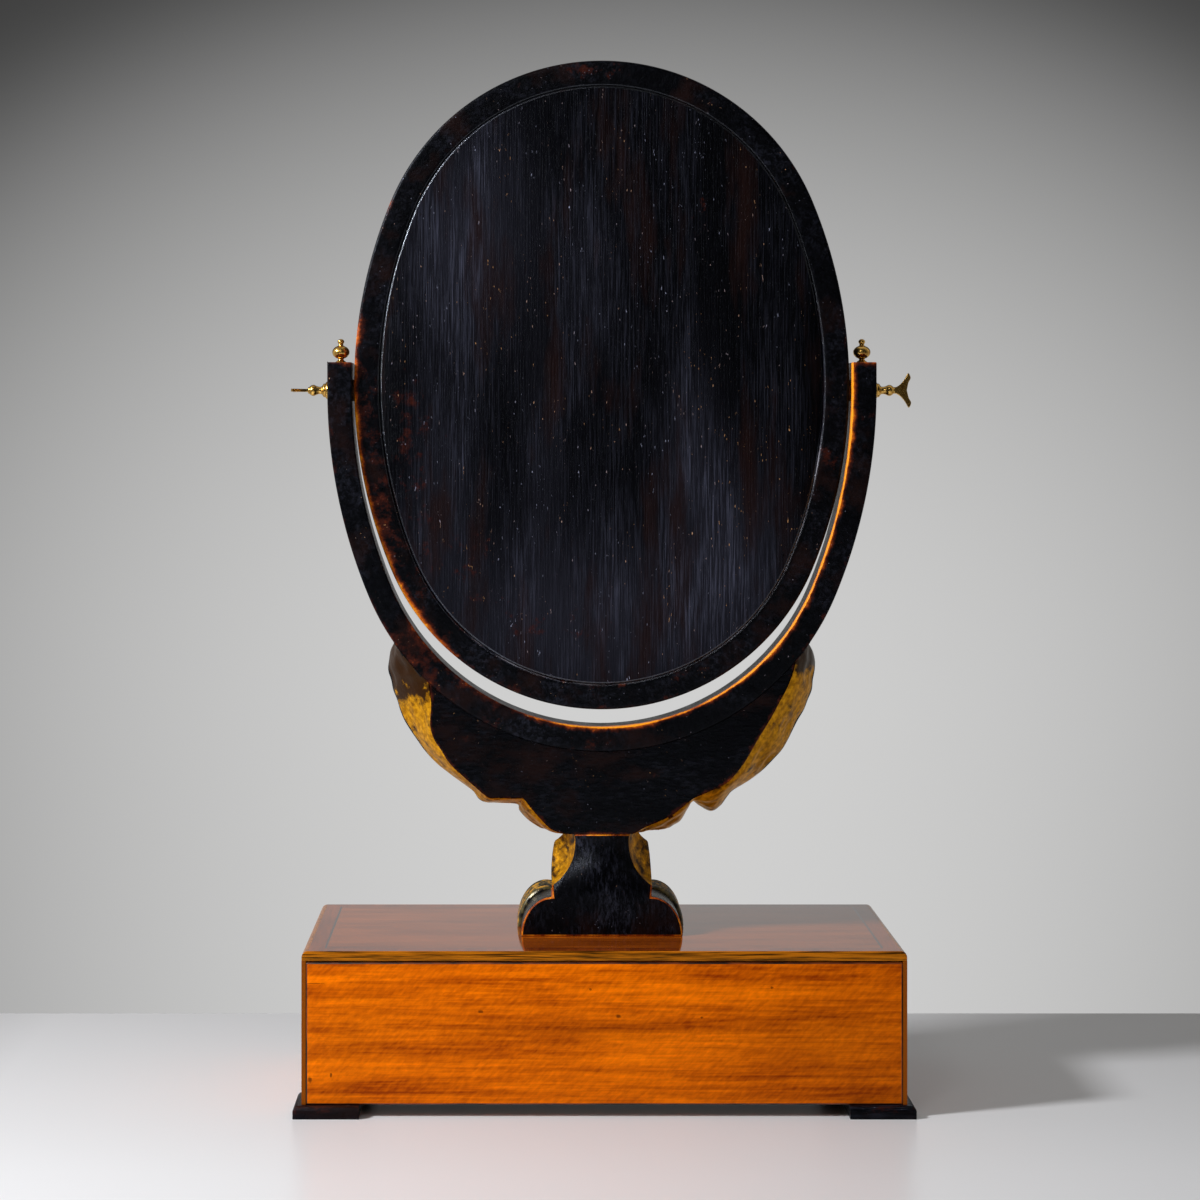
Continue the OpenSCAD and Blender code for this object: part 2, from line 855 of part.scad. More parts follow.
module pedestal_block() {
    color("black")
        difference() {
            translate([0, 0, case_top_z])
                difference() {
                    pedestal_solid();
                    for (side = [0, 1])
                        mirror([side, 0, 0]) {
                            translate([neck_w / 2 + scoop_out, stand_back_y + scoop_back, pedestal_h - scoop_drop])
                                sphere(r = scoop_r, $fn = round_fn);
                            translate([scroll_x, scroll_back_y, scroll_z])
                                rotate([90, 0, 0])
                                    cylinder(r = scroll_r, h = pedestal_d, $fn = round_fn);
                            board([scroll_x, foot_front_y - past, -past],
                                [pedestal_w, scroll_back_y, scroll_z + scroll_r]);
                            board([scroll_x - scroll_r / 2, foot_front_y - past, -past],
                                [pedestal_w, scroll_back_y, scroll_z]);
                        }
                }
            at_dowels(hole_air);
            at_stand_screws(hole_air);
        }
}

function scroll_profile() =
    let (pitch = scroll_len / scroll_ribs, steps = 4)
    concat([[0, 0]],
        [for (i = [0:scroll_ribs * steps])
            let (s = i / steps, dip = 1 - sin(180 * (s - floor(s))))
            [scroll_r - 0.02 - rib_depth * dip, pitch * s]],
        [[0, scroll_len]]);

module scroll() {
    turns = 1.75;
    eye_r = 4.2;
    groove = 1.6;
    groove_d = 2;
    start_r = scroll_r - 4.5;
    steps = 60;
    path = [for (i = [0:steps]) [360 * turns * i / steps, start_r - (start_r - eye_r) * i / steps]];
    outer = [for (p = path) (p[1] + groove / 2) * [cos(p[0]), sin(p[0])]];
    inner = [for (i = [steps:-1:0]) (path[i][1] - groove / 2) * [cos(path[i][0]), sin(path[i][0])]];
    intersection() {
        translate([scroll_x, scroll_back_y, case_top_z + scroll_z])
            rotate([90, 0, 0])
                difference() {
                    union() {
                        rotate_extrude($fn = round_fn)
                            polygon(scroll_profile());
                        translate([0, 0, scroll_len])
                            cylinder(r1 = eye_r - 1.4, r2 = eye_r - 2.4, h = 1.2, $fn = small_fn);
                    }
                    translate([0, 0, scroll_len - groove_d])
                        linear_extrude(groove_d + past / 2)
                            polygon(concat(outer, inner));
                }
        board([0, foot_front_y - scroll_len, case_top_z], [pedestal_w, scroll_back_y, pedestal_top_z]);
    }
}

module scroll_left() {
    color("darkgoldenrod")
        mirror([1, 0, 0])
            scroll();
}

module scroll_right() {
    color("darkgoldenrod")
        scroll();
}

module at_dowels(air) {
    for (side = [-1, 1])
        translate([side * neck_w / 6, pivot_y, pedestal_top_z - dowel_len / 2 - air])
            cylinder(r = dowel_r + air, h = dowel_len + 2 * air, $fn = round_fn);
}

module pedestal_dowels() {
    color("burlywood")
        at_dowels(0);
}

module at_stand_screws(air) {
    for (side = [-1, 1])
        translate([side * (neck_w / 2 - 8), stand_back_y - 20, top_under_z + screw_sink])
            wood_screw(stand_screw_r, top_t + stand_screw_len - screw_sink, air);
}

module stand_screws() {
    color("dimgray")
        at_stand_screws(0);
}

// Yoke

// The part of a turned ring round its own middle that lies between two lines from that middle,
// each given by a point that it runs towards
module ring_arc(r, toward_a, toward_b, height) {
    intersection() {
        rotate_extrude($fn = 2 * round_fn)
            translate([r, 0])
                children();
        translate([0, 0, -height])
            linear_extrude(2 * height)
                polygon([[0, 0], toward_a, toward_a + toward_b, toward_b]);
    }
}

// Carries a profile round the yoke's band: x runs outwards from the inner face, y runs forwards
module yoke_sweep() {
    far = 50;
    translate([0, stand_back_y, pivot_z])
        rotate([90, 0, 0]) {
            translate([0, -yoke_end_drop, 0])
                ring_arc(yoke_end_r, far * [-12, -5], far * [12, -5], 2 * yoke_d)
                    children();
            for (side = [0, 1])
                mirror([side, 0, 0]) {
                    translate([-12 * yoke_step, 0, 0])
                        ring_arc(yoke_side_r, far * [12, -5], far * [12, 0], 2 * yoke_d)
                            children();
                    translate([yoke_a, 0, 0])
                        rotate([-90, 0, 0])
                            linear_extrude(arm_rise)
                                mirror([0, 1])
                                    children();
                }
        }
}

module yoke_hoop() {
    color("black")
        difference() {
            yoke_sweep()
                polygon([[arris, 0], [band_w, 0], [band_w, yoke_d - arris], [band_w - arris, yoke_d],
                    [arris, yoke_d], [0, yoke_d - arris], [0, arris]]);
            for (side = [-1, 1]) {
                translate([side * (arm_in_x + band_w / 2), pivot_y, pivot_z])
                    rotate([0, 90, 0])
                        cylinder(r = screw_r + 0.25, h = band_w + 2 * past, center = true, $fn = round_fn);
                translate([side * (arm_in_x + band_w / 2), pivot_y, pivot_z + arm_rise - finial_spigot])
                    cylinder(r = spigot_r + hole_air, h = finial_spigot + past, $fn = small_fn);
            }
        }
}

// Outline of the board under the band: degrees from straight down, then how far the front and the
// back outlines lie outside the band, in shares of the board's height. The two sides were carved by
// eye and differ.
right_outline = [
    [0, 1.06, 1.045], [5, 1.045, 1.035], [8.2, 1.03, 1.01], [11.5, 0.97, 0.862], [14.4, 0.879, 0.697],
    [16.3, 0.74, 0.713], [20, 0.823, 0.796], [22.8, 0.912, 0.779], [26, 0.852, 0.73],
    [30.2, 0.771, 0.63], [35.3, 0.68, 0.498], [40, 0.58, 0.149], [44.8, 0.448, -0.05],
    [49.5, 0.307, -0.05], [54, 0.149, -0.05], [55.4, 0.017, -0.05], [55.8, -0.05, -0.066]];
left_outline = [
    [0, 1.06, 1.045], [5, 1.04, 1.01], [10, 1.01, 0.862], [14.9, 0.841, 0.746], [16.2, 0.746, 0.705],
    [19.3, 0.935, 0.705], [22.2, 0.866, 0.697], [24.4, 0.765, 0.663], [29.1, 0.743, 0.547],
    [34.1, 0.663, 0.398], [38.8, 0.536, 0.265], [43.9, 0.425, 0.141], [49.6, 0.272, 0.033],
    [52.6, 0.161, -0.05], [54.4, 0.033, -0.05], [54.8, -0.05, -0.066]];

// The board's cross-sections, from one wing tip to the other. Each runs from the back of the inner
// edge over the front to the scooped flank, whose depth shares say how far out each ring of it lies.
flank = [[1, 1], [0.55, 0.85], [0.25, 0.5], [0, 0]];
function board_section(p, side) =
    let (at = function(r, y) [side * r * sin(p[0]), y, yoke_centre_z - r * cos(p[0])],
        inside = yoke_out_r - board_h / 12)
    concat([at(inside, stand_back_y), at(inside, stand_front_y)],
        [for (f = flank)
            at(yoke_out_r + board_h * (p[2] + (p[1] - p[2]) * f[1]), stand_back_y - yoke_d * f[0])]);
function board_sections() =
    let (left = smooth(left_outline, 3), right = smooth(right_outline, 3))
    concat([for (i = [len(left) - 1:-1:1]) board_section(left[i], -1)],
        [for (p = right) board_section(p, 1)]);

// A solid through a row of convex cross-sections
module through(sections) {
    m = len(sections[0]);
    n = len(sections);
    last = (n - 1) * m;
    polyhedron(
        points = [for (section = sections) each section],
        faces = concat([for (k = [1:m - 2]) [0, k, k + 1]],
            [for (k = [1:m - 2]) [last, last + k + 1, last + k]],
            [for (i = [0:n - 2]) for (k = [0:m - 1]) let (a = i * m + k, b = i * m + (k + 1) % m)
                each [[a, a + m, b + m], [a, b + m, b]]]));
}

module crescent_board() {
    color("black")
        difference() {
            through(board_sections());
            translate([0, stand_back_y + past, yoke_centre_z])
                rotate([90, 0, 0])
                    cylinder(r = yoke_out_r, h = yoke_d + 2 * past, $fn = round_fn);
            board([-pedestal_w, stand_front_y - past, pedestal_top_z - board_h / 2],
                [pedestal_w, stand_back_y + past, pedestal_top_z]);
            at_dowels(hole_air);
        }
}

// Carved leaves

// A leaf on a flat or sloping ground: rows run along the leaf, columns across it
module relief(front, back) {
    rows = len(front);
    cols = len(front[0]);
    n = rows * cols;
    function at(i, j) = i * cols + j;
    rim = concat([for (i = [0:rows - 1]) at(i, 0)], [for (j = [1:cols - 1]) at(rows - 1, j)],
        [for (i = [rows - 2:-1:0]) at(i, cols - 1)], [for (j = [cols - 2:-1:1]) at(0, j)]);
    m = len(rim);
    polyhedron(
        points = concat([for (row = front) each row], [for (row = back) each row]),
        faces = concat(
            [for (i = [0:rows - 2]) for (j = [0:cols - 2])
                each [[at(i, j), at(i + 1, j), at(i + 1, j + 1)], [at(i, j), at(i + 1, j + 1), at(i, j + 1)]]],
            [for (i = [0:rows - 2]) for (j = [0:cols - 2])
                each [[n + at(i, j), n + at(i + 1, j + 1), n + at(i + 1, j)],
                    [n + at(i, j), n + at(i, j + 1), n + at(i + 1, j + 1)]]],
            [for (k = [0:m - 1]) let (a = rim[k], b = rim[(k + 1) % m])
                each [[a, n + b, b], [a, n + a, n + b]]]));
}

function normal_of(path, s) =
    let (d = smooth_at(path, min(len(path) - 1, s + 0.05)) - smooth_at(path, max(0, s - 0.05)))
    [-d.y, d.x] / norm(d);

// Point of a leaf at u along its rib and v across it, as [x, z, height over the ground]
function leaf_point(path, widths, lobes, relief_h, u, v) =
    let (s = min(len(path) - 1, (len(path) - 1) * (u + 0.06 * abs(v) * (1 - u))),
        w = smooth_at(widths, u * (len(widths) - 1)),
        edge = board_h * (v < 0 ? w[0] : w[1]),
        lobe = 1 - 0.2 * pow(tent(u * lobes), 2) * pow(abs(v), 2) * sin(180 * min(1, u * 1.1)),
        at = smooth_at(path, s) + normal_of(path, s) * v * edge * lobe,
        crown = relief_h * (1 - pow(abs(v), 2.4)) * (0.35 + 0.65 * sin(180 * (0.12 + 0.76 * u))),
        vein = -0.09 * leaf_relief * tent(u * lobes + 0.5 + 0.35 * abs(v)) * sin(180 * abs(v)),
        rib = -0.12 * leaf_relief * exp(-pow(v / 0.13, 2)))
    [at.x, at.y, leaf_edge + crown + vein + rib];

function leaf_points(path, widths, lobes, relief_h, rows, cols) =
    [for (i = [0:rows]) [for (j = [0:cols])
        leaf_point(path, widths, lobes, relief_h, i / rows, 2 * j / cols - 1)]];

// A leaf laid on the front of the board and the band
module leaf(points) {
    relief([for (row = points) [for (p = row) [p.x, stand_front_y - p.z, p.y]]],
        [for (row = points) [for (p = row) [p.x, stand_front_y, p.y]]]);
}

// The room that a leaf takes, so that its neighbour tucks in beside it
module leaf_room(points) {
    rows = len(points);
    cols = len(points[0]);
    upright(stand_front_y + past)
        linear_extrude(4 * leaf_relief)
            polygon(concat([for (i = [0:rows - 1]) [points[i][0].x, points[i][0].y]],
                [for (j = [1:cols - 1]) [points[rows - 1][j].x, points[rows - 1][j].y]],
                [for (i = [rows - 2:-1:0]) [points[i][cols - 1].x, points[i][cols - 1].y]],
                [for (j = [cols - 2:-1:1]) [points[0][j].x, points[0][j].y]]));
}

// Ribs of the leaves: degrees from straight down, then the distance outside the band. It and the
// widths on each side of a rib are shares of the board's height.
function on_band(a, out) =
    let (r = yoke_out_r + out * board_h)
    [r * sin(a), yoke_centre_z - r * cos(a)];
wing_rib = [on_band(5, 0.5), on_band(12, 0.4), on_band(21, 0.33), on_band(31, 0.265), on_band(41, 0.15),
    on_band(49, 0.05), on_band(54.5, 0.017)];
wing_widths = [[0.13, 0.2], [0.315, 0.35], [0.415, 0.33], [0.38, 0.315], [0.3, 0.265], [0.18, 0.15],
    [0.04, 0.04]];
lower_rib = [on_band(2.5, 0.93), on_band(5.5, 0.845), on_band(9.5, 0.763), on_band(13.5, 0.73), on_band(16, 0.713)];
lower_widths = [[0.066, 0.066], [0.133, 0.133], [0.174, 0.15], [0.133, 0.116], [0.033, 0.033]];

function wing_points() = leaf_points(wing_rib, wing_widths, leaf_lobes, leaf_relief, 36, 12);
function lower_points() = leaf_points(lower_rib, lower_widths, 4, leaf_relief * 0.7, 18, 10);

module wing_leaf() {
    difference() {
        leaf(wing_points());
        leaf_room(palmette_points());
    }
}

module wing_leaf_left() {
    color("gold")
        mirror([1, 0, 0])
            wing_leaf();
}

module wing_leaf_right() {
    color("gold")
        wing_leaf();
}

module lower_leaf() {
    difference() {
        leaf(lower_points());
        leaf_room(wing_points());
        leaf_room(palmette_points());
    }
}

module lower_leaf_left() {
    color("gold")
        mirror([1, 0, 0])
            lower_leaf();
}

module lower_leaf_right() {
    color("gold")
        lower_leaf();
}

// A fan of petals that spread from the foot of the board
function palmette_points() =
    let (fan = 74, rows = petals * 6, cols = 7, base_z = pedestal_top_z + 0.13 * board_h, reach = 0.92 * board_h)
    [for (i = [0:rows]) [for (j = [0:cols])
        let (a = fan - 2 * fan * i / rows,
            v = j / cols,
            petal = tent(petals * i / rows),
            r = (0.12 + 0.88 * v) * reach * (1 - 0.16 * v * v * (1 - petal)) * (0.72 + 0.28 * cos(a)))
        [r * sin(a), base_z + r * cos(a),
            leaf_edge + leaf_relief * (1.2 * (1 - 0.55 * v) - 0.36 * v * (1 - petal) - 0.22 * pow(v, 6))]]];

module palmette() {
    color("gold")
        leaf(palmette_points());
}

// The leaf on the pedestal's front: it rises between the scrolls and curls forwards at its tip
function pedestal_front_y(z) =
    z < pedestal_knee_z ? foot_front_y
        : foot_front_y + (stand_front_y - neck_step_y - foot_front_y) * (z - pedestal_knee_z)
            / (pedestal_h - neck_step_z - pedestal_knee_z);
function pedestal_leaf_points() =
    let (rows = 24,
        cols = 12,
        knee = 9 / rows,
        from_z = pedestal_knee_z / 8,
        widths = [0.11, 0.17, 0.21, 0.24, 0.35, 0.42, 0.38, 0.25, 0.07])
    [for (i = [0:rows]) [for (j = [0:cols])
        let (u = i / rows,
            v = 2 * j / cols - 1,
            z = u < knee ? from_z + (pedestal_knee_z - from_z) * u / knee
                : pedestal_knee_z + (pedestal_h - neck_step_z - pedestal_knee_z) * (u - knee) / (1 - knee),
            lobe = 1 - 0.16 * tent(5 * u) * abs(v),
            crown = 0.9 * (1 - pow(abs(v), 2.4)),
            curl = 0.78 * pow(max(0, u - 0.6) / 0.4, 2),
            vein = -0.1 * tent(5 * u + 0.5 + 0.35 * abs(v)) * sin(180 * abs(v)) - 0.12 * exp(-pow(v / 0.13, 2)))
        [v * neck_w * smooth_at(widths, u * (len(widths) - 1)) * lobe, z,
            leaf_edge + leaf_relief * (crown + curl + vein)]]];

module pedestal_leaf() {
    points = pedestal_leaf_points();
    color("gold")
        translate([0, 0, case_top_z])
            relief([for (row = points) [for (p = row) [p.x, pedestal_front_y(p.y) - p.z, p.y]]],
                [for (row = points) [for (p = row) [p.x, pedestal_front_y(p.y), p.y]]]);
}

// Finials

module finial(side) {
    ball_z = finial_h * 0.5;
    ball_h = finial_h * 0.23;
    tip_r = 2.5;
    color("gold")
        translate([side * (arm_in_x + band_w / 2), pivot_y, pivot_z + arm_rise])
            union() {
                translate([0, 0, -finial_spigot])
                    cylinder(r = spigot_r, h = finial_spigot, $fn = small_fn);
                rotate_extrude($fn = round_fn)
                    polygon(concat([[0, 0], [4, 0], [4.1, 0.7], [3.6, 1.3], [2.4, 2.2], [1.9, 3.2], [2.1, ball_z - ball_h - 1]],
                        [for (a = [-65:13:65]) [finial_r * cos(a), ball_z + ball_h * sin(a)]],
                        [[1.6, ball_z + ball_h + 0.7]],
                        [for (a = [-50:20:90]) [tip_r * cos(a), finial_h - 2 + 2 * sin(a)]]));
            }
}

module finial_left() {
    finial(-1);
}

module finial_right() {
    finial(1);
}

// Mirror

// An oval slab, inset from the frame's outline, between two depths measured forwards
module oval_slab(inset, from, to) {
    join_h = (oval_side_r - inset) * 5 / 13;
    translate([0, pivot_y, oval_z])
        rotate([90, 0, 0])
            translate([0, 0, from])
                union() {
                    for (side = [-1, 1])
                        translate([0, side * oval_offset, 0])
                            cylinder(r = mirror_end_r - inset, h = to - from, $fn = round_fn);
                    intersection() {
                        for_each_side(oval_side_r - oval_a)
                            cylinder(r = oval_side_r - inset, h = to - from, $fn = 2 * round_fn);
                        translate([-mirror_w, -join_h, 0])
                            cube([2 * mirror_w, 2 * join_h, to - from]);
                    }
                }
}

// Carries a profile round the oval: x runs outwards from the outline, y runs forwards
module oval_sweep() {
    far = 50;
    translate([0, pivot_y, oval_z])
        rotate([90, 0, 0])
            for (side = [0, 1]) {
                mirror([0, side, 0])
                    translate([0, oval_offset, 0])
                        ring_arc(mirror_end_r, far * [12, 5], far * [-12, 5], 2 * frame_t)
                            children();
                mirror([side, 0, 0])
                    translate([-12 * oval_step, 0, 0])
                        ring_arc(oval_side_r, far * [12, -5], far * [12, 5], 2 * frame_t)
                            children();
            }
}

function frame_profile() =
    let (back = frame_back,
        front = frame_t / 2,
        lip = glass_front + lip_t,
        fillet = rim_round / 2,
        hollow_x = -roll_r - flat_w - 2.5 * fillet,
        hollow_y = front - 3 * fillet)
    concat([[-rim_w, back], [-rim_round, back], [-rim_round / 4, back + rim_round / 3], [0, back + rim_round]],
        arc_points([-roll_r, front - roll_r], roll_r, 0, 90, 7),
        [[-roll_r - flat_w, front - fillet], [hollow_x, hollow_y]],
        arc_points([hollow_x - hollow_r, hollow_y], hollow_r, 0, -70, 5),
        [[rim_round - face_w, lip - fillet], [-face_w, lip - rim_round], [-face_w, glass_front], [-rim_w, glass_front]]);

module mirror_frame() {
    color("black")
        difference() {
            oval_sweep()
                polygon(frame_profile());
            for (side = [-1, 1])
                pivot_pocket(side);
        }
}

module gilt_slip() {
    slip_air = 0.1;
    color("gold")
        oval_sweep()
            polygon([for (p = [[0, 0.05], [0, 0.75], [0.3, 0.9], [0.7, 0.6], [1, 0.15], [1, 0.05]])
                [-face_w - max(slip_air, slip_w * p[0]), glass_front + lip_t * p[1]]]);
}

module mirror_plate() {
    color("lightsteelblue")
        oval_slab(rim_w + glass_gap, glass_back, glass_front);
}

module back_board() {
    color("black")
        difference() {
            oval_slab(rim_w + board_gap, board_back, board_front);
            at_board_pins(hole_air);
        }
}

function oval_edge(angle, inset) =
    let (r = mirror_end_r - inset)
    abs(sin(angle)) > sin(oval_join)
        ? [r * cos(angle), sign(sin(angle)) * oval_offset + r * sin(angle)]
        : (oval_side_r - inset) * [cos(angle), sin(angle)] - sign(cos(angle)) * [oval_side_r - oval_a, 0];

module packing_blocks() {
    color("tan")
        difference() {
            for (k = [0:block_count - 1]) {
                angle = 360 * (k + 0.5) / block_count;
                edge = oval_edge(angle, rim_w + glass_gap + block_d / 2);
                translate([edge.x, pivot_y - glass_back, oval_z + edge.y])
                    rotate([0, -angle, 0])
                        translate([-block_d / 2, 0, -block_w / 2])
                            cube([block_d, glass_back - board_front, block_w]);
            }
            at_board_pins(hole_air);
        }
}

module at_board_pins(air) {
    for (k = [0:block_count - 1]) {
        edge = oval_edge(360 * (k + 0.5) / block_count, rim_w + glass_gap + block_d / 2);
        translate([edge.x, pivot_y - board_back + (air > 0 ? past : 0), oval_z + edge.y])
            rotate([90, 0, 0])
                cylinder(r = board_pin_r + air, h = board_t + 4 + (air > 0 ? past + air : 0), $fn = small_fn);
    }
}

module board_pins() {
    color("dimgray")
        at_board_pins(0);
}

// Pivots

module pivot_pocket(side) {
    mirror([side < 0 ? 1 : 0, 0, 0]) {
        board([plate_out_x - plate_t, pivot_y - plate_w / 2 - hole_air, pivot_z - plate_h / 2 - hole_air],
            [oval_a + past, pivot_y + plate_w / 2 + hole_air, pivot_z + plate_h / 2 + hole_air]);
        translate([oval_a - screw_in - 0.3, pivot_y, pivot_z])
            rotate([0, 90, 0])
                cylinder(r = screw_r + 0.3, h = screw_in + 2 * past, $fn = round_fn);
        at_plate_screws(hole_air);
    }
}

module at_plate_screws(air) {
    for (z = [-1, 1])
        translate([plate_out_x, pivot_y, pivot_z + z * (plate_h / 2 - 5)])
            rotate([0, -90, 0])
                wood_screw(1.1, 11, air);
}

module pivot_plate(side) {
    color("goldenrod")
        mirror([side < 0 ? 1 : 0, 0, 0])
            difference() {
                board([plate_out_x - plate_t, pivot_y - plate_w / 2, pivot_z - plate_h / 2],
                    [plate_out_x, pivot_y + plate_w / 2, pivot_z + plate_h / 2]);
                translate([plate_out_x - plate_t - past, pivot_y, pivot_z])
                    rotate([0, 90, 0])
                        cylinder(r = screw_r + hole_air, h = plate_t + 2 * past, $fn = round_fn);
                at_plate_screws(hole_air);
            }
}

module pivot_plate_left() {
    pivot_plate(-1);
}

module pivot_plate_right() {
    pivot_plate(1);
}

module plate_screws() {
    color("darkgoldenrod")
        for (side = [-1, 1])
            mirror([side < 0 ? 1 : 0, 0, 0])
                at_plate_screws(0);
}

module washer(side) {
    gap = arm_in_x - oval_a;
    color("saddlebrown")
        translate([side * (oval_a + 0.05), pivot_y, pivot_z])
            rotate([0, side * 90, 0])
                difference() {
                    cylinder(r = washer_r, h = gap - 0.2, $fn = round_fn);
                    translate([0, 0, -past])
                        cylinder(r = screw_r + 0.1, h = gap + 2 * past, $fn = round_fn);
                }
}

module washer_left() {
    washer(-1);
}

module washer_right() {
    washer(1);
}

// A thumbscrew along +X from its flange's inner face: a turned baluster and a flat fish tail
module thumbscrew(turn) {
    shank_len = screw_in + arm_gap + band_w + flange_gap;
    stem = thumb_out - 12;
    root = thumb_out - 13;
    half_tail = tail_h / 2;
    upper = smooth([[0, 2.3], [2.4, 2.6], [5.5, 4.8], [8.5, 8.5], [10.6, half_tail - 0.6]], 3);
    outer = [for (p = smooth([[12.2, half_tail - 1.2], [12.9, half_tail - 4], [11.2, half_tail * 0.42], [10, 0]], 3)) p];
    half = concat(upper, [[11.4, half_tail]], outer);
    other = [for (i = [len(half) - 2:-1:0]) [half[i].x, -half[i].y]];
    color("gold")
        rotate([turn, 0, 0])
            union() {
                rotate([0, 90, 0])
                    rotate_extrude($fn = round_fn)
                        polygon(concat([[0, -shank_len], [screw_r, -shank_len], [screw_r, 0],
                            [flange_r, 0], [flange_r, 1], [flange_r - 0.9, 2], [5, 2.2], [5, 3.4], [3.9, 4.2]],
                            smooth([[2.9, 5], [2.7, 6.6], [3.2, 8.6], [4.1, 10.6], [3.8, 12.4], [2.6, stem - 1]], 3),
                            [[2.2, stem], [0, stem]]));
                translate([root, 0, 0])
                    rotate([90, 0, 0])
                        translate([0, 0, -tail_t / 2])
                            linear_extrude(tail_t)
                                polygon(concat(half, other));
            }
}

module thumbscrew_left() {
    translate([-arm_out_x - flange_gap, pivot_y, pivot_z])
        mirror([1, 0, 0])
            thumbscrew(left_turn);
}

module thumbscrew_right() {
    translate([arm_out_x + flange_gap, pivot_y, pivot_z])
        thumbscrew(right_turn);
}

case_top();
top_field();
top_stringing();
top_crossbanding();
case_left_side();
case_right_side();
case_back();
case_bottom();
upper_rail();
rail_blocks();
kicker_strips();
drawer_stops();
foot_front_left();
foot_front_right();
foot_rear_left();
foot_rear_right();
foot_screws();
drawer_front();
drawer_left_side();
drawer_right_side();
drawer_back();
drawer_bottom();
escutcheon();
lock_case();
lock_plate();
lock_pin();
lock_screws();
lock_bolt();
key();
pedestal_block();
scroll_left();
scroll_right();
pedestal_leaf();
pedestal_dowels();
stand_screws();
crescent_board();
yoke_hoop();
wing_leaf_left();
wing_leaf_right();
lower_leaf_left();
lower_leaf_right();
palmette();
finial_left();
finial_right();
mirror_frame();
gilt_slip();
mirror_plate();
packing_blocks();
back_board();
board_pins();
pivot_plate_left();
pivot_plate_right();
plate_screws();
washer_left();
washer_right();
thumbscrew_left();
thumbscrew_right();
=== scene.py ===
from math import atan2, cos, degrees, exp, hypot, pi, radians, sin

import bmesh
import bpy
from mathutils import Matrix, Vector, noise


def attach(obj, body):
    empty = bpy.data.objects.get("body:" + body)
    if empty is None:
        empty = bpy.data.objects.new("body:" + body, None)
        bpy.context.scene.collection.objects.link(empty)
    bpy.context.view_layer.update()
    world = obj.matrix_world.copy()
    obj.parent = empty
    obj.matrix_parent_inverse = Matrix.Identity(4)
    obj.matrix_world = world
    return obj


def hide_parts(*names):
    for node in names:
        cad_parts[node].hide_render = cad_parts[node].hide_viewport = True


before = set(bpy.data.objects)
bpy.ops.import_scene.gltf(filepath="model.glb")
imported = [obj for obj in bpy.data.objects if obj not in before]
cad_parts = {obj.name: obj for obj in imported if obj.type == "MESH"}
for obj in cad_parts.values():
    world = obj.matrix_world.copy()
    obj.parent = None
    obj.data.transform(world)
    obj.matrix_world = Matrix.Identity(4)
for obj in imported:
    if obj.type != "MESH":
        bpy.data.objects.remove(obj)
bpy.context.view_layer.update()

mm = 0.001

# The photographer's camera: level, behind the mirror and a little to its right, with its film
# plane parallel to the case's back, so that all uprights stay parallel.
eye_y, eye_z = 2.163, 0.478
camera_data = bpy.data.cameras.new("studio_camera")
camera_data.lens = 87
camera_data.sensor_width = 36
camera_data.shift_x = 0.0633
camera_data.shift_y = -0.13
camera = bpy.data.objects.new("studio_camera", camera_data)
camera.location = (0.057, eye_y, eye_z)
camera.rotation_euler = (radians(90), 0, radians(180))
bpy.context.scene.collection.objects.link(camera)
bpy.context.scene.camera = camera
bpy.context.scene.view_settings.view_transform = "Standard"


# The table under the mirror: a white lacquered board whose far edge shows behind the case. It is
# one slab with a softly rounded edge, and its lacquer blurs the reflection of what stands on it.
def linear(colour):
    """An sRGB hex colour as linear red, green, blue and alpha."""
    parts = [int(colour[i:i + 2], 16) / 255 for i in (1, 3, 5)]
    return (*(p / 12.92 if p <= 0.04045 else ((p + 0.055) / 1.055) ** 2.4 for p in parts), 1)


def fill(node, sockets):
    """Gives a node's sockets their values, or links them to an output or to a node's first live one."""
    for name, value in sockets.items():
        if isinstance(value, bpy.types.Node):
            value = next(output for output in value.outputs if output.enabled)
        if isinstance(value, bpy.types.NodeSocket):
            node.id_data.links.new(value, node.inputs[name])
        else:
            node.inputs[name].default_value = value


def add_node(tree, kind, sockets={}, **settings):
    """Adds a shader node with its settings, and fills or links its sockets."""
    made = tree.nodes.new("ShaderNode" + kind)
    for name, value in settings.items():
        setattr(made, name, value)
    fill(made, sockets)
    return made


def new_finish(name, **steady):
    """A material, its node tree, its shader with the values that are steady, and the place on a piece."""
    finish = bpy.data.materials.new(name)
    finish.use_nodes = True
    shader = next(n for n in finish.node_tree.nodes if n.type == "BSDF_PRINCIPLED")
    for key, value in steady.items():
        shader.inputs[key.replace("_", " ").title().replace("Ior", "IOR")].default_value = value
    tree = finish.node_tree
    return finish, tree, shader, add_node(tree, "TexCoord").outputs["Object"]


def start(name, low, high):
    """Starts a piece as a block between two corners, in millimetres, and opens it for modelling."""
    bpy.ops.object.select_all(action="DESELECT")
    bpy.ops.mesh.primitive_cube_add(size=1)
    piece = bpy.context.object
    piece.name = piece.data.name = name
    bpy.ops.object.mode_set(mode="EDIT")
    size = [(h - l) * mm for l, h in zip(low, high)]
    bpy.ops.transform.resize(value=size, center_override=(0, 0, 0))
    bpy.ops.transform.translate(value=[(h + l) / 2 * mm for l, h in zip(low, high)])
    return piece


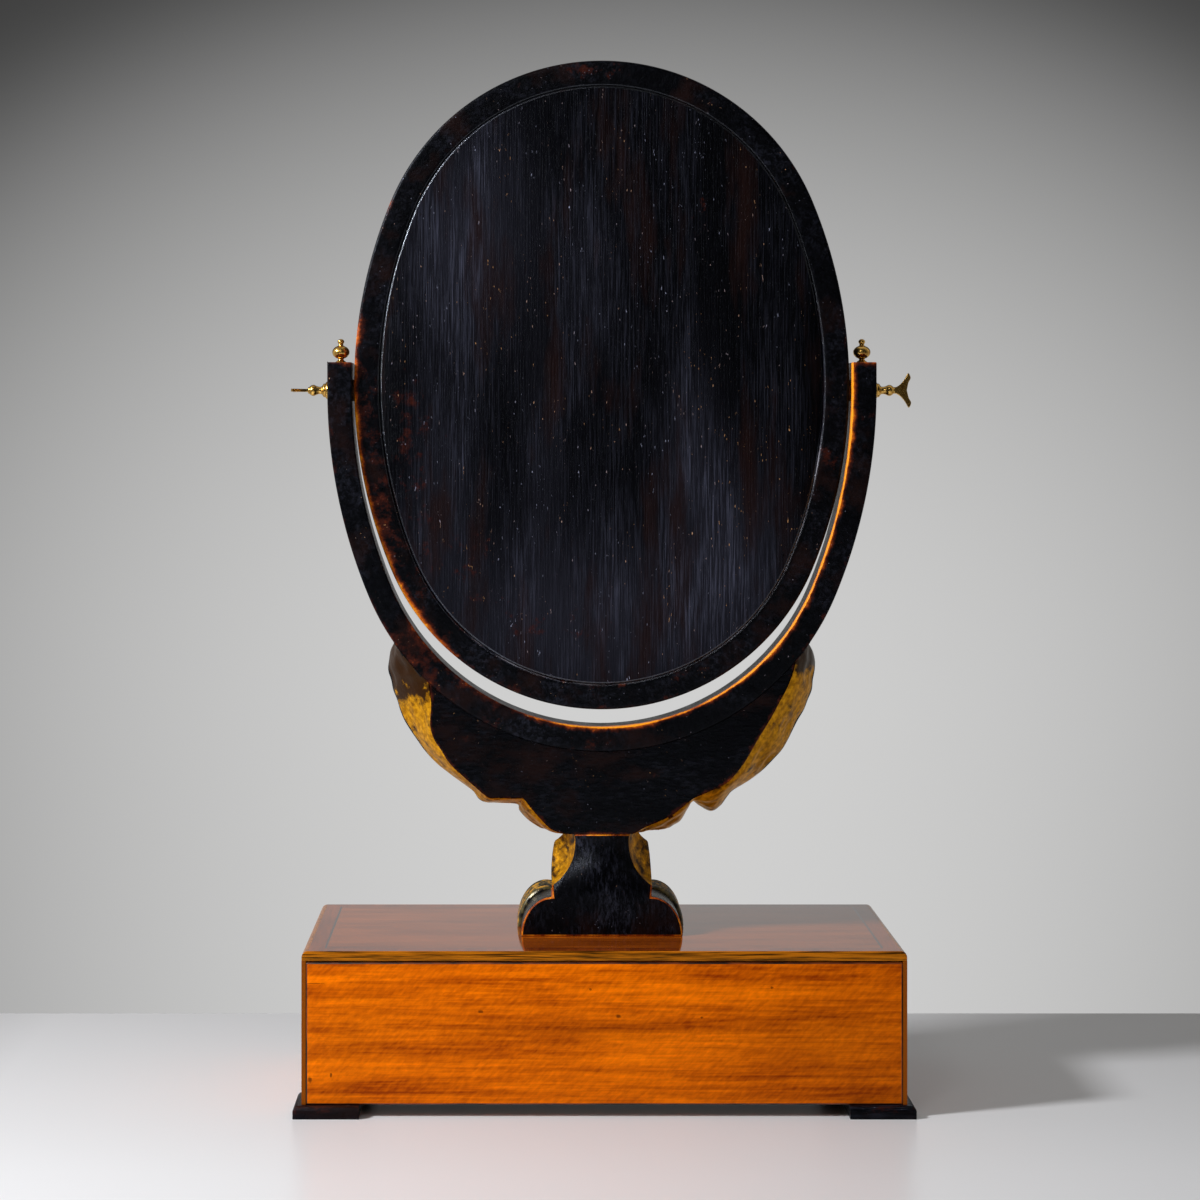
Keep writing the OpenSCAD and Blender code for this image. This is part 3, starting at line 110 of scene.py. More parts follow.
def pick(kind, test):
    """Selects the corners, edges or faces that pass a test of their middle in millimetres."""
    bpy.ops.mesh.select_mode(type=kind)
    bpy.ops.mesh.select_all(action="DESELECT")
    shape = bmesh.from_edit_mesh(bpy.context.object.data)
    for part in {"VERT": shape.verts, "EDGE": shape.edges, "FACE": shape.faces}[kind]:
        corners = [part] if kind == "VERT" else list(part.verts)
        if test(sum((c.co for c in corners), Vector()) / len(corners) / mm, part):
            part.select_set(True)
    shape.select_flush_mode()
    bmesh.update_edit_mesh(bpy.context.object.data)


def close(piece, *finishes, angle=40):
    """Ends the modelling: doubles merged, normals outwards, smooth up to an angle, finishes on."""
    bpy.ops.mesh.select_all(action="SELECT")
    bpy.ops.mesh.remove_doubles(threshold=0.00001)
    bpy.ops.mesh.normals_make_consistent(inside=False)
    bpy.ops.object.mode_set(mode="OBJECT")
    bpy.ops.object.shade_smooth_by_angle(angle=radians(angle))
    for finish in finishes:
        if finish.name not in piece.data.materials:
            piece.data.materials.append(finish)


white_lacquer, tree, shader, place = new_finish("white_lacquered_board", roughness=0.33,
                                                specular_ior_level=0.36)
split = add_node(tree, "SeparateXYZ", {0: place})
# Painted light: the board's colour is darker towards its far edge and paler towards the camera, where the
# lamps light it more, with a faint mottle.
painted_light_near = add_node(tree, "MapRange", {"Value": split.outputs["Y"], "From Min": -0.35, "From Max": 0.3})
painted_light_mottle = add_node(tree, "TexNoise", {"Vector": place, "Scale": 3, "Detail": 3})
painted_light_mottle = add_node(tree, "Math", {0: painted_light_mottle, 1: 0.1, 2: painted_light_near}, operation="MULTIPLY_ADD")
tone = add_node(tree, "Mix", {0: painted_light_mottle, 6: linear("#cfcdcc"), 7: linear("#e9e8e7")}, data_type="RGBA")
# Painted shade: the board's colour is darker towards the lamp, so that it glares less beside it.
painted_shade_by_lamp = add_node(tree, "MapRange", {"Value": split.outputs["X"], "From Min": 0.45, "From Max": 0.8})
tone = add_node(tree, "Mix", {0: painted_shade_by_lamp, 6: tone, 7: linear("#706f6e")}, data_type="RGBA")
fill(shader, {"Base Color": tone})
table = start("table", (-1800, -273, -40), (1800, 2600, 0))
pick("EDGE", lambda m, e: m.y < -270 and m.z > -1)
bpy.ops.mesh.bevel(offset=1.5 * mm, segments=3)
close(table, white_lacquer)

# The grey paper behind the table, bright low in the middle and dark towards the upper corners, as if
# one lamp behind the mirror lit it. That light is painted: the paper glows with this tone for the eye
# and for gloss, and glows dimly and evenly for the rest.
paper, tree, shader, place = new_finish("studio_paper", roughness=0.9)
split = add_node(tree, "SeparateXYZ", {0: place})


def paper_sum(tree, value, power, factor, plus, least):
    """A value raised to a power, times a factor, plus another, and softly kept over a least one."""
    value = add_node(tree, "Math", {0: value, 1: power}, operation="POWER")
    value = add_node(tree, "Math", {0: value, 1: factor, 2: plus}, operation="MULTIPLY_ADD")
    return add_node(tree, "Math", {0: value, 1: least, 2: 0.14}, operation="SMOOTH_MAX")


paper_y = -2600
far = eye_y - paper_y * mm
rise = add_node(tree, "MapRange", {"Value": split.outputs["Z"], "From Min": eye_z - 0.1 * far,
                                   "From Max": eye_z + 0.18 * far, "To Max": 0.28})
aside = add_node(tree, "Math", {0: split.outputs["X"], 1: 1 / far, 2: 0.028}, operation="MULTIPLY_ADD")
aside = add_node(tree, "Math", {0: aside}, operation="ABSOLUTE")
aside = add_node(tree, "Math", {0: aside, 1: 0.22}, operation="MINIMUM")
height_tone = paper_sum(tree, rise, 2, -7, 0.63, 0.05)
paper_tone = paper_sum(tree, aside, 2, -4.2, height_tone, 0.05)
ray = add_node(tree, "LightPath")
seen = add_node(tree, "Math", {0: ray.outputs["Is Camera Ray"], 1: ray.outputs["Is Glossy Ray"]},
                operation="MAXIMUM")
seen = add_node(tree, "Math", {0: seen, 1: ray.outputs["Is Transmission Ray"]}, operation="MAXIMUM")
level = add_node(tree, "Mix", {0: seen, 2: 0.2, 3: paper_tone})
fill(shader, {"Emission Strength": level, "Emission Color": (1, 0.998, 0.992, 1), "Base Color": (0, 0, 0, 1),
              "Specular IOR Level": 0})
backdrop = start("paper_backdrop", (-4000, paper_y - 10, -1500), (4000, paper_y, 4500))
close(backdrop, paper)

# The room: a plain soft white all round for the light, pale for the eye, and dim for gloss on the
# photographer's side, where the lamps are off.
world = bpy.data.worlds.new("studio")
bpy.context.scene.world = world
world.use_nodes = True
tree = world.node_tree
room = next(n for n in tree.nodes if n.type == "BACKGROUND")
towards = add_node(tree, "TexCoord").outputs["Generated"]
split = add_node(tree, "SeparateXYZ", {0: towards})
rise = add_node(tree, "Math", {0: split.outputs["Z"], 1: 0.1}, operation="ADD")
rise = add_node(tree, "Math", {0: rise, 1: 0}, operation="MAXIMUM")
eye_tone = paper_sum(tree, rise, 2, -4, 0.6, 0.16)
dimmer = add_node(tree, "MapRange", {"Value": split.outputs["Y"], "From Min": -0.1, "From Max": 0.5,
                                     "To Min": 0.5, "To Max": 0.03})
ray = add_node(tree, "LightPath")
level = add_node(tree, "Mix", {0: ray.outputs["Is Glossy Ray"], 2: 0.2, 3: dimmer})
seen = add_node(tree, "Math", {0: ray.outputs["Is Camera Ray"], 1: ray.outputs["Is Transmission Ray"]},
                operation="MAXIMUM")
level = add_node(tree, "Mix", {0: seen, 2: level, 3: eye_tone})
fill(room, {"Strength": level, "Color": (1, 0.998, 0.992, 1)})


def lamp(name, at, towards, size, power, colour="#ffffff"):
    """A square softbox, aimed at a point. Places in metres, power in watts."""
    box = bpy.data.lights.new(name, "AREA")
    box.shape = "SQUARE"
    box.size = size
    box.energy = power
    box.color = linear(colour)[:3]
    holder = bpy.data.objects.new(name, box)
    holder.location = at
    holder.rotation_euler = (Vector(towards) - Vector(at)).to_track_quat("-Z", "Y").to_euler()
    bpy.context.scene.collection.objects.link(holder)


lamp("key_softbox", (1.58, 0.8, 1.42), (0, 0, 0.3), 0.3, 62, "#f8faff")
lamp("near_softbox", (0.5, 1.7, 1.5), (0, 0.2, 0.1), 0.35, 4)

# The top board of the case: a cherry board with a thin walnut edge, rounded at its ends and French
# polished like the rest. A shallow bed is sunk into it for the veneers.
def dress(finish, *names):
    """Gives solids that already have their real shape their finish."""
    for name in names:
        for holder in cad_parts[name].material_slots:
            holder.material = finish


def mottle(tree, place, scale, detail, pale, deep, low=0, high=1, roughness=0.5):
    """A noise, and a tone that runs from a pale to a deep colour between two of the noise's levels."""
    spots = add_node(tree, "TexNoise", {"Vector": place, "Scale": scale, "Detail": detail,
                                        "Roughness": roughness})
    share = add_node(tree, "MapRange", {"Value": spots, "From Min": low, "From Max": high})
    return spots, add_node(tree, "Mix", {0: share, 6: linear(pale), 7: linear(deep)}, data_type="RGBA")


edge_walnut, tree, shader, place = new_finish("polished_walnut_edge", roughness=0.22, ior=1.5,
                                              specular_tint=(1, 0.5, 0.08, 1))
# Golden brown, with dark pores drawn out along the board, each about half a millimetre thick.
along = add_node(tree, "Mapping", {"Vector": place, "Scale": (0.03, 1, 1)})
pores, tone = mottle(tree, along, 1100, 4, "#b0640c", "#2c1403", 0.4, 0.66)
bump = add_node(tree, "Bump", {"Height": pores, "Strength": 0.2, "Distance": 0.2 * mm})
fill(shader, {"Base Color": tone, "Normal": bump})


def polished_wood(name, pale, deep, grain, figure, sheen, level=0.5):
    """French polished wood: fine grain lines, broad bands of figure and short slanted curls.

    The amber polish tints what it reflects, and lets it through dull where it is thin."""
    finish, tree, shader, place = new_finish(name, ior=1.5, specular_ior_level=level,
                                             specular_tint=(1, 0.45, 0.05, 1))
    along = add_node(tree, "Mapping", {"Vector": place, "Scale": grain})
    slanted = add_node(tree, "Mapping", {"Vector": place, "Rotation": (0, radians(-50), 0),
                                         "Scale": (1, 1, 3)}, vector_type="TEXTURE")
    drawn = add_node(tree, "Mapping", {"Vector": place, "Scale": [g ** 0.4 for g in grain]})
    bands = add_node(tree, "TexNoise", {"Vector": along, "Scale": 85, "Detail": 5, "Roughness": 0.62,
                                        "Distortion": 0.5})
    lines = add_node(tree, "TexNoise", {"Vector": along, "Scale": 520, "Detail": 4})
    curls = add_node(tree, "TexNoise", {"Vector": slanted, "Scale": 480, "Detail": 3})
    clouds = add_node(tree, "TexNoise", {"Vector": drawn, "Scale": 24, "Detail": 3})
    depth = add_node(tree, "Math", {0: bands, 1: figure, 2: -figure / 2 - 0.425}, operation="MULTIPLY_ADD")
    for part, weight in ((lines, 0.6), (curls, 0.55), (clouds, 0.75)):
        depth = add_node(tree, "Math", {0: part, 1: weight, 2: depth}, operation="MULTIPLY_ADD")
    share = add_node(tree, "MapRange", {"Value": depth, "From Min": 0.1, "From Max": 0.9})
    tone = add_node(tree, "Mix", {0: share, 6: linear(pale), 7: linear(deep)}, data_type="RGBA")
    gloss = add_node(tree, "MapRange", {"Value": clouds, "From Min": 0.3, "From Max": 0.7, "To Min": sheen,
                                        "To Max": sheen * 2})
    bump = add_node(tree, "Bump", {"Height": lines, "Strength": 0.12, "Distance": 0.15 * mm})
    fill(shader, {"Base Color": tone, "Roughness": gloss, "Normal": bump})
    return finish, tree, shader, place, tone


def split_at(at, across, **settings):
    """Splits the whole piece along a plane, given by a place in millimetres and a direction."""
    bpy.ops.mesh.select_all(action="SELECT")
    bpy.ops.mesh.bisect(plane_co=[place * mm for place in at], plane_no=across, **settings)


top_board = start("top_board", (-215, -105, 111), (215, 105, 118))
for side in (-1, 1):
    split_at((210.5 * side, 0, 0), (1, 0, 0))
for side in (-1, 1):
    split_at((0, 103.8 * side, 0), (0, 1, 0))
pick("FACE", lambda m, f: m.z > 117.9 and abs(m.x) < 200 and abs(m.y) < 100)
bpy.ops.mesh.extrude_region_move(TRANSFORM_OT_translate={"value": (0, 0, -0.8 * mm)})
pick("EDGE", lambda m, e: abs(m.x) > 214.9 and m.z > 117.9)
bpy.ops.mesh.bevel(offset=4.4 * mm, segments=8, clamp_overlap=False)
pick("EDGE", lambda m, e: abs(m.y) > 104.9 and (m.z < 111.1 or m.z > 117.9 or e.calc_face_angle(0) > 1.2))
bpy.ops.mesh.bevel(offset=0.5 * mm, segments=3)
close(top_board, edge_walnut, angle=50)
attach(top_board, "stand")
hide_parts("case_top")

cherry_field = polished_wood("polished_cherry_field", "#a4500e", "#5a2206", (0.07, 1, 1), 0.9, 0.05, 0.37)[0]
cherry_band = polished_wood("polished_cherry_crossband", "#98440e", "#501c05", (1, 0.07, 1), 0.9, 0.05,
                            0.37)[0]
dress(cherry_field, "top_field")
dress(cherry_band, "top_crossbanding")

# The stringing between field and crossbanding: a line of ebony under the same polish.
ebony, tree, shader, place = new_finish("polished_ebony_line", roughness=0.08, ior=1.5)
pores, tone = mottle(tree, place, 900, 3, "#1c1310", "#33211a")
fill(shader, {"Base Color": tone})
dress(ebony, "top_stringing")

# The back panel: one wide board of stained maple, its curl running across the grain, with a few
# pin knots and a short split. It is let in between the sides under a shadow line.
panel_maple, tree, shader, place, tone = polished_wood("stained_maple_panel", "#ff7d02", "#862a02",
                                                       (0.05, 1, 1), 1.5, 0.2)
wobble = add_node(tree, "TexNoise", {"Vector": place, "Scale": 400, "Detail": 2})
for x, z, wide, tall, edge, depth in ((10, 62, 75, 8, 1.4, 0.34), (-150, 58, 52, 24, 1.5, 0.34),
                                      (180, 60, 26, 30, 1.5, 0.26), (150, 70, 52, 36, 1.5, 0.16),
                                      (88, 75, 1.9, 1.2, 0.5, 0.85), (-10, 72, 2.2, 1.3, 0.5, 0.85),
                                      (-69, 71, 1.1, 0.9, 0.5, 0.85), (10, 91, 1.0, 0.9, 0.5, 0.7),
                                      (-119, 92, 1.3, 0.9, 0.5, 0.8), (209, 27, 1.6, 2.2, 0.5, 0.85),
                                      (194, 30, 0.9, 1.4, 0.5, 0.85), (206, 95, 8, 0.35, 0.5, 0.85)):
    centred = add_node(tree, "Mapping", {"Vector": place, "Location": (x * mm, 0.109, z * mm),
                                         "Scale": (wide * mm, 1, tall * mm)}, vector_type="TEXTURE")
    away = add_node(tree, "VectorMath", {0: centred}, operation="LENGTH")
    ragged = add_node(tree, "Math", {0: wobble, 1: 1.6, 2: away.outputs["Value"]}, operation="MULTIPLY_ADD")
    dark = add_node(tree, "MapRange", {"Value": ragged, "From Min": 1.9 - edge,
                                       "From Max": 1.9 + edge * 0.6 - 0.3, "To Min": depth, "To Max": 0})
    tone = add_node(tree, "Mix", {0: dark, 6: tone, 7: linear("#5a1e02")}, data_type="RGBA")
fill(shader, {"Base Color": tone})
# Dirt and dark varnish have gathered along the panel's edges.
dark_edge, tree, shader, place = new_finish("darkened_panel_edge", roughness=0.45, ior=1.5)
dirt, tone = mottle(tree, place, 60, 4, "#6e2f04", "#180a03", 0.4, 0.62)
fill(shader, {"Base Color": tone})
back_panel = start("back_panel", (-212, 97, 9), (212, 105, 110))
back_panel.data.materials.append(panel_maple)
back_panel.data.materials.append(dark_edge)
pick("EDGE", lambda m, e: m.y > 104.9 or (abs(m.x) > 211.9 and m.y > 98 and abs(m.z - 59.5) > 50))
bpy.ops.mesh.bevel(offset=1.1 * mm, segments=3, material=1)
close(back_panel, angle=50)
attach(back_panel, "stand")
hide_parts("case_back")

# The sides of the case: maple boards, stained darker where their end grain shows beside the panel.
side_maple, tree, shader, place, tone = polished_wood("stained_maple_sides", "#dc7006", "#8c3602",
                                                      (1, 0.07, 1), 0.9, 0.16)
split = add_node(tree, "SeparateXYZ", {0: place})
end = add_node(tree, "MapRange", {"Value": split.outputs["Y"], "From Min": 103.6 * mm,
                                  "From Max": 104.8 * mm})
tone = add_node(tree, "Mix", {0: end, 6: tone, 7: linear("#7c3a08")}, data_type="RGBA")
fill(shader, {"Base Color": tone})
dress(side_maple, "case_left_side", "case_right_side")

# The carcase inside: bottom board, rail, kickers and stops of plain pine, only oiled.
pine, tree, shader, place = new_finish("oiled_pine", roughness=0.62, ior=1.5)
along = add_node(tree, "Mapping", {"Vector": place, "Scale": (0.06, 1, 1)})
rings, tone = mottle(tree, along, 260, 4, "#cfa878", "#a87440", 0.38, 0.66)
bump = add_node(tree, "Bump", {"Height": rings, "Strength": 0.3, "Distance": 0.2 * mm})
fill(shader, {"Base Color": tone, "Normal": bump})
dress(pine, "rail_blocks", "kicker_strips", "drawer_stops", "pedestal_dowels", "packing_blocks",
      "drawer_left_side", "drawer_right_side", "drawer_back", "drawer_bottom")
dress(side_maple, "upper_rail")

# The bottom board is pine too; its colour is nearly black underneath, which is painted shade for the dark gap
# under the case.
painted_shade_pine, tree, shader, place = new_finish("pine_bottom_painted_shade", roughness=0.7,
                                                 specular_ior_level=0.2)
grime, tone = mottle(tree, place, 70, 4, "#1c120a", "#060403")
fill(shader, {"Base Color": tone})
dress(painted_shade_pine, "case_bottom")


# The feet: square pads of ebonised wood, screwed on under the corners, with their upper edges
# rounded and worn brown.
def ebonise(name, grain, lines_mm=1.5, gloss=(0.24, 0.4), relief=0.5, rub=0.0, level=0.1, painted_sheen=0.3):
    """Black stained wood under old polish, rubbed brown and orange where its wear mark is high.

    Grain stretches the pattern along the wood, lines_mm is the spacing of the grain lines, rub adds to
    the wear mark all over, and painted_sheen is how much painted bluish grey sheen lies on the grain
    crests everywhere, under what the painted light mark adds."""
    finish, tree, shader, place = new_finish(name, ior=1.5, specular_ior_level=level,
                                             specular_tint=(0.82, 0.88, 1, 1))
    along = add_node(tree, "Mapping", {"Vector": place, "Scale": grain})
    drawn = add_node(tree, "Mapping", {"Vector": place, "Scale": [g ** 0.45 for g in grain]})
    lines = add_node(tree, "TexNoise", {"Vector": along, "Scale": 1000 / lines_mm, "Detail": 5,
                                        "Roughness": 0.68})
    clouds = add_node(tree, "TexNoise", {"Vector": drawn, "Scale": 36, "Detail": 5, "Roughness": 0.6})
    other = add_node(tree, "SeparateColor", {0: clouds.outputs["Color"]})
    rubs = add_node(tree, "TexNoise", {"Vector": place, "Scale": 75, "Detail": 7, "Roughness": 0.72})
    # Painted sheen: the crests of the grain are painted bluish grey, most where the painted light mark is
    # high, and in some patches more than in others.
    painted_light_mottle = add_node(tree, "Attribute", attribute_name="painted_light_mottle").outputs["Fac"]
    painted_sheen_share = add_node(tree, "MapRange", {"Value": painted_light_mottle, "To Min": painted_sheen, "To Max": 1})
    patch = add_node(tree, "MapRange", {"Value": clouds, "From Min": 0.42, "From Max": 0.66, "To Min": 0.1,
                                        "To Max": 1})
    patch = add_node(tree, "Math", {0: patch, 1: painted_sheen_share}, operation="MULTIPLY")
    crest = add_node(tree, "MapRange", {"Value": lines, "From Min": 0.47, "From Max": 0.68, "To Min": 0.04,
                                        "To Max": 1})
    painted_grain_sheen = add_node(tree, "Math", {0: crest, 1: patch}, operation="MULTIPLY")
    # The black is painted greyer where the painted light mark is high: painted sheen.
    black_and_painted_sheen = add_node(tree, "Mix", {0: painted_light_mottle, 6: linear("#010102"), 7: linear("#191920")}, data_type="RGBA",
                    clamp_factor=True)
    tone = add_node(tree, "Mix", {0: painted_grain_sheen, 6: black_and_painted_sheen, 7: linear("#484a5a")}, data_type="RGBA")
    warm = add_node(tree, "MapRange", {"Value": other.outputs["Green"], "From Min": 0.52, "From Max": 0.66,
                                       "To Max": 0.7})
    tone = add_node(tree, "Mix", {0: warm, 6: tone, 7: linear("#1a0c09")}, data_type="RGBA")
    wear = add_node(tree, "Attribute", attribute_name="wear").outputs["Fac"]
    wear = add_node(tree, "Math", {0: wear, 1: 1.1, 2: rub * 1.1 - 0.9}, operation="MULTIPLY_ADD")
    wear = add_node(tree, "Math", {0: rubs, 1: 1.6, 2: wear}, operation="MULTIPLY_ADD")
    for low, high, colour in ((0.3, 0.56, "#3a150b"), (0.54, 0.78, "#a0460c"), (0.78, 1.0, "#f0941c")):
        bare = add_node(tree, "MapRange", {"Value": wear, "From Min": low, "From Max": high})
        tone = add_node(tree, "Mix", {0: bare, 6: tone, 7: linear(colour)}, data_type="RGBA")
    # Small dents and chips, about a millimetre across: the grey ones are painted glints, the ochre ones show
    # gesso.
    speckled = add_node(tree, "Mapping", {"Vector": place, "Scale": [0.25 + 0.75 * g for g in grain]})
    chips = add_node(tree, "TexNoise", {"Vector": speckled, "Scale": 920, "Detail": 2})
    spot = add_node(tree, "Math", {0: rubs, 1: 0.4, 2: chips}, operation="MULTIPLY_ADD")
    spot = add_node(tree, "MapRange", {"Value": spot, "From Min": 0.93, "From Max": 0.975})
    chalk = add_node(tree, "MapRange", {"Value": other.outputs["Blue"], "From Min": 0.48, "From Max": 0.58})
    # A pale painted highlight where the painted light mark runs over 1.1, as along the frame's groove.
    pale_painted_highlight = add_node(tree, "MapRange", {"Value": painted_light_mottle, "From Min": 1.1, "From Max": 2})
    tone = add_node(tree, "Mix", {0: pale_painted_highlight, 6: tone, 7: linear("#d6d2dc")}, data_type="RGBA")
    painted_glint_and_gesso_tone = add_node(tree, "Mix", {0: chalk, 6: linear("#7c7f92"), 7: linear("#b8895c")},
                         data_type="RGBA")
    tone = add_node(tree, "Mix", {0: spot, 6: tone, 7: painted_glint_and_gesso_tone}, data_type="RGBA")
    sheen = add_node(tree, "MapRange", {"Value": rubs, "From Min": 0.3, "From Max": 0.7, "To Min": gloss[0],
                                        "To Max": gloss[1]})
    height = add_node(tree, "Math", {0: rubs, 1: 0.7, 2: lines}, operation="MULTIPLY_ADD")
    height = add_node(tree, "Math", {0: spot, 1: -0.6, 2: height}, operation="MULTIPLY_ADD")
    bump = add_node(tree, "Bump", {"Height": height, "Strength": relief, "Distance": 0.9 * mm})
    fill(shader, {"Base Color": tone, "Roughness": sheen, "Normal": bump})
    return finish


def mark(piece, name, rule):
    """Writes a number on each corner of a finished piece, by a rule of its place in millimetres."""
    layer = piece.data.attributes.new(name, "FLOAT", "POINT")
    for corner, value in zip(piece.data.vertices, layer.data):
        value.value = rule(corner.co / mm)


foot_black = ebonise("ebonised_foot", (0.1, 1, 1), 1.2)
for across in (-1, 1):
    for along in (-1, 1):
        corner_x, corner_y = 221 * across, 111 * along
        inner_x, inner_y = 174 * across, 64 * along
        name = "foot_%s_%s" % ("rear" if along > 0 else "front", "right" if across > 0 else "left")
        pad = start(name + "_pad", (min(corner_x, inner_x), min(corner_y, inner_y), 0),
                    (max(corner_x, inner_x), max(corner_y, inner_y), 9))
        pick("EDGE", lambda m, e: m.z > 8.9 and (abs(m.x - corner_x) < 1 or abs(m.y - corner_y) < 1))
        bpy.ops.mesh.bevel(offset=3.8 * mm, segments=5, clamp_overlap=False)
        pick("EDGE", lambda m, e: abs(m.x - corner_x) < 1 and abs(m.y - corner_y) < 1 and m.z < 8)
        bpy.ops.mesh.bevel(offset=0.8 * mm, segments=2)
        close(pad, foot_black, angle=50)
        mark(pad, "wear", lambda m: 0.12 + 0.25 * (4.5 < m.z < 8.9))
        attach(pad, "stand")
        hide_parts(name)

# Screws of iron, browned by age, hold the feet, the stand and the back of the mirror.
iron, tree, shader, place = new_finish("browned_iron", metallic=1, roughness=0.5)
rust, tone = mottle(tree, place, 700, 4, "#5a5450", "#4a2f20")
fill(shader, {"Base Color": tone})
dress(iron, "foot_screws", "stand_screws", "board_pins")

# The drawer front: figured maple like the back panel, with a lens-shaped brass escutcheon.
front_maple = polished_wood("stained_maple_front", "#e87a06", "#903802", (0.07, 1, 1), 1.1, 0.16)[0]
dress(front_maple, "drawer_front")

# Brass: turned and filed, then lacquered, with brown left in the corners by old polish.
brass, tree, shader, place = new_finish("lacquered_brass", metallic=1)
stain, tone = mottle(tree, place, 260, 4, "#e2b45e", "#8a5a1e", 0.5, 0.74, roughness=0.6)
sheen = add_node(tree, "MapRange", {"Value": stain, "To Min": 0.16, "To Max": 0.36})
scratches = add_node(tree, "TexNoise", {"Vector": place, "Scale": 2200, "Detail": 2})
bump = add_node(tree, "Bump", {"Height": scratches, "Strength": 0.08, "Distance": 0.1 * mm})
fill(shader, {"Base Color": tone, "Roughness": sheen, "Normal": bump})
dress(brass, "escutcheon", "lock_plate", "lock_case", "lock_screws", "pivot_plate_left", "pivot_plate_right",
      "plate_screws")

# The key, the bolt and the drill pin: steel, filed and rubbed bright where it is handled.
steel, tree, shader, place = new_finish("filed_steel", metallic=1)
stain, tone = mottle(tree, place, 320, 4, "#a8a6a2", "#5e5148", 0.42, 0.7)
sheen = add_node(tree, "MapRange", {"Value": stain, "To Min": 0.25, "To Max": 0.55})
fill(shader, {"Base Color": tone, "Roughness": sheen})
dress(steel, "key", "lock_bolt", "lock_pin")


# The pedestal: one block of ebonised wood with a domed foot, a slightly waisted neck and a scooped
# and gilded hollow at each back corner of the neck. Its foot is hollowed for the scrolls.
def draw(name, points):
    """Starts a piece as a line drawn from corner to corner, in millimetres."""
    bpy.ops.object.select_all(action="DESELECT")
    bpy.ops.mesh.primitive_plane_add(size=mm)
    piece = bpy.context.object
    piece.name = piece.data.name = name
    bpy.ops.object.mode_set(mode="EDIT")
    bpy.ops.mesh.select_mode(type="VERT")
    bpy.ops.mesh.merge(type="CENTER")
    bpy.ops.transform.translate(value=Vector(points[0]) * mm)
    for here, there in zip(points, points[1:]):
        step = (Vector(there) - Vector(here)) * mm
        bpy.ops.mesh.extrude_vertices_move(TRANSFORM_OT_translate={"value": step})
    return piece


def push_out(step):
    """Fills the line that was drawn and pushes it out to a solid, by a step in metres."""
    bpy.ops.mesh.select_all(action="SELECT")
    bpy.ops.mesh.edge_face_add()
    bpy.ops.mesh.extrude_region_move(TRANSFORM_OT_translate={"value": step})


def cut(piece, cutter):
    """Cuts a piece with another, which is then thrown away. The cut takes the cutter's finish."""
    modifier = piece.modifiers.new("cut", "BOOLEAN")
    modifier.object = cutter
    modifier.solver = "EXACT"
    modifier.material_mode = "TRANSFER"
    bpy.context.view_layer.objects.active = piece
    bpy.ops.object.modifier_apply(modifier="cut")
    bpy.data.objects.remove(cutter)


def gild(name, worn=0.5, relief=0.4):
    """Oil gilding over gesso and black wood: warm leaf, dark where it is rubbed through, by a share of
    its own and where its grime mark is high."""
    finish, tree, shader, place = new_finish(name, ior=1.5, specular_ior_level=0.15,
                                             specular_tint=(1, 0.75, 0.3, 1))
    patches = add_node(tree, "TexNoise", {"Vector": place, "Scale": 90, "Detail": 6, "Roughness": 0.66})
    leaf, tone = mottle(tree, place, 260, 4, "#dc9a18", "#a46c0a", 0.36, 0.62)
    grime = add_node(tree, "Attribute", attribute_name="grime").outputs["Fac"]
    grime = add_node(tree, "Math", {0: grime, 1: 0.4, 2: patches}, operation="MULTIPLY_ADD")
    dirt = add_node(tree, "MapRange", {"Value": grime, "From Min": worn, "From Max": worn + 0.16})
    tone = add_node(tree, "Mix", {0: dirt, 6: tone, 7: linear("#2a1506")}, data_type="RGBA")
    metal = add_node(tree, "MapRange", {"Value": dirt, "To Min": 0.4, "To Max": 0.05})
    sheen = add_node(tree, "MapRange", {"Value": leaf, "To Min": 0.24, "To Max": 0.42})
    height = add_node(tree, "Math", {0: patches, 1: 1.5, 2: leaf}, operation="MULTIPLY_ADD")
    bump = add_node(tree, "Bump", {"Height": height, "Strength": relief, "Distance": 0.5 * mm})
    fill(shader, {"Base Color": tone, "Metallic": metal, "Roughness": sheen, "Normal": bump})
    return finish


pedestal_black = ebonise("ebonised_pedestal", (1, 1, 0.3), 1.6, (0.2, 0.36), painted_sheen=0.4)
pedestal_worn = ebonise("ebonised_worn_arris", (1, 1, 0.6), 1.2, rub=0.8)
scoop_gilding = gild("gilded_scoop", 0.42)
base_z, stand_back, stand_front = 118, 42.4, 7.4
half = [(36 + 23 * cos(radians(a)), 28.6 * sin(radians(a))) for a in range(0, 91, 6)]
half += [(36.3, 31.6), (36.7, 37), (36.7, 43), (36.4, 50), (35.9, 57), (35.1, 63), (34.2, 69), (33.4, 74.6)]
outline = [(x, stand_back, base_z + z) for x, z in half]
outline += [(-x, stand_back, base_z + z) for x, z in reversed(half)]
pedestal = draw("pedestal", outline)
pedestal.data.materials.append(pedestal_black)
pedestal.data.materials.append(pedestal_worn)
push_out((0, -60 * mm, 0))
for low, high in (((-17.6, 31), (1.4, 62.6)), ((1.4, 62.6), (7.4, 74.6))):
    split_at((0, low[0], base_z + low[1]), (0, low[1] - high[1], high[0] - low[0]), clear_outer=True,
             use_fill=True)
pick("EDGE", lambda m, e: e.calc_face_angle(0) > 0.6)
bpy.ops.mesh.bevel(offset=1.1 * mm, segments=3, material=1)
close(pedestal)
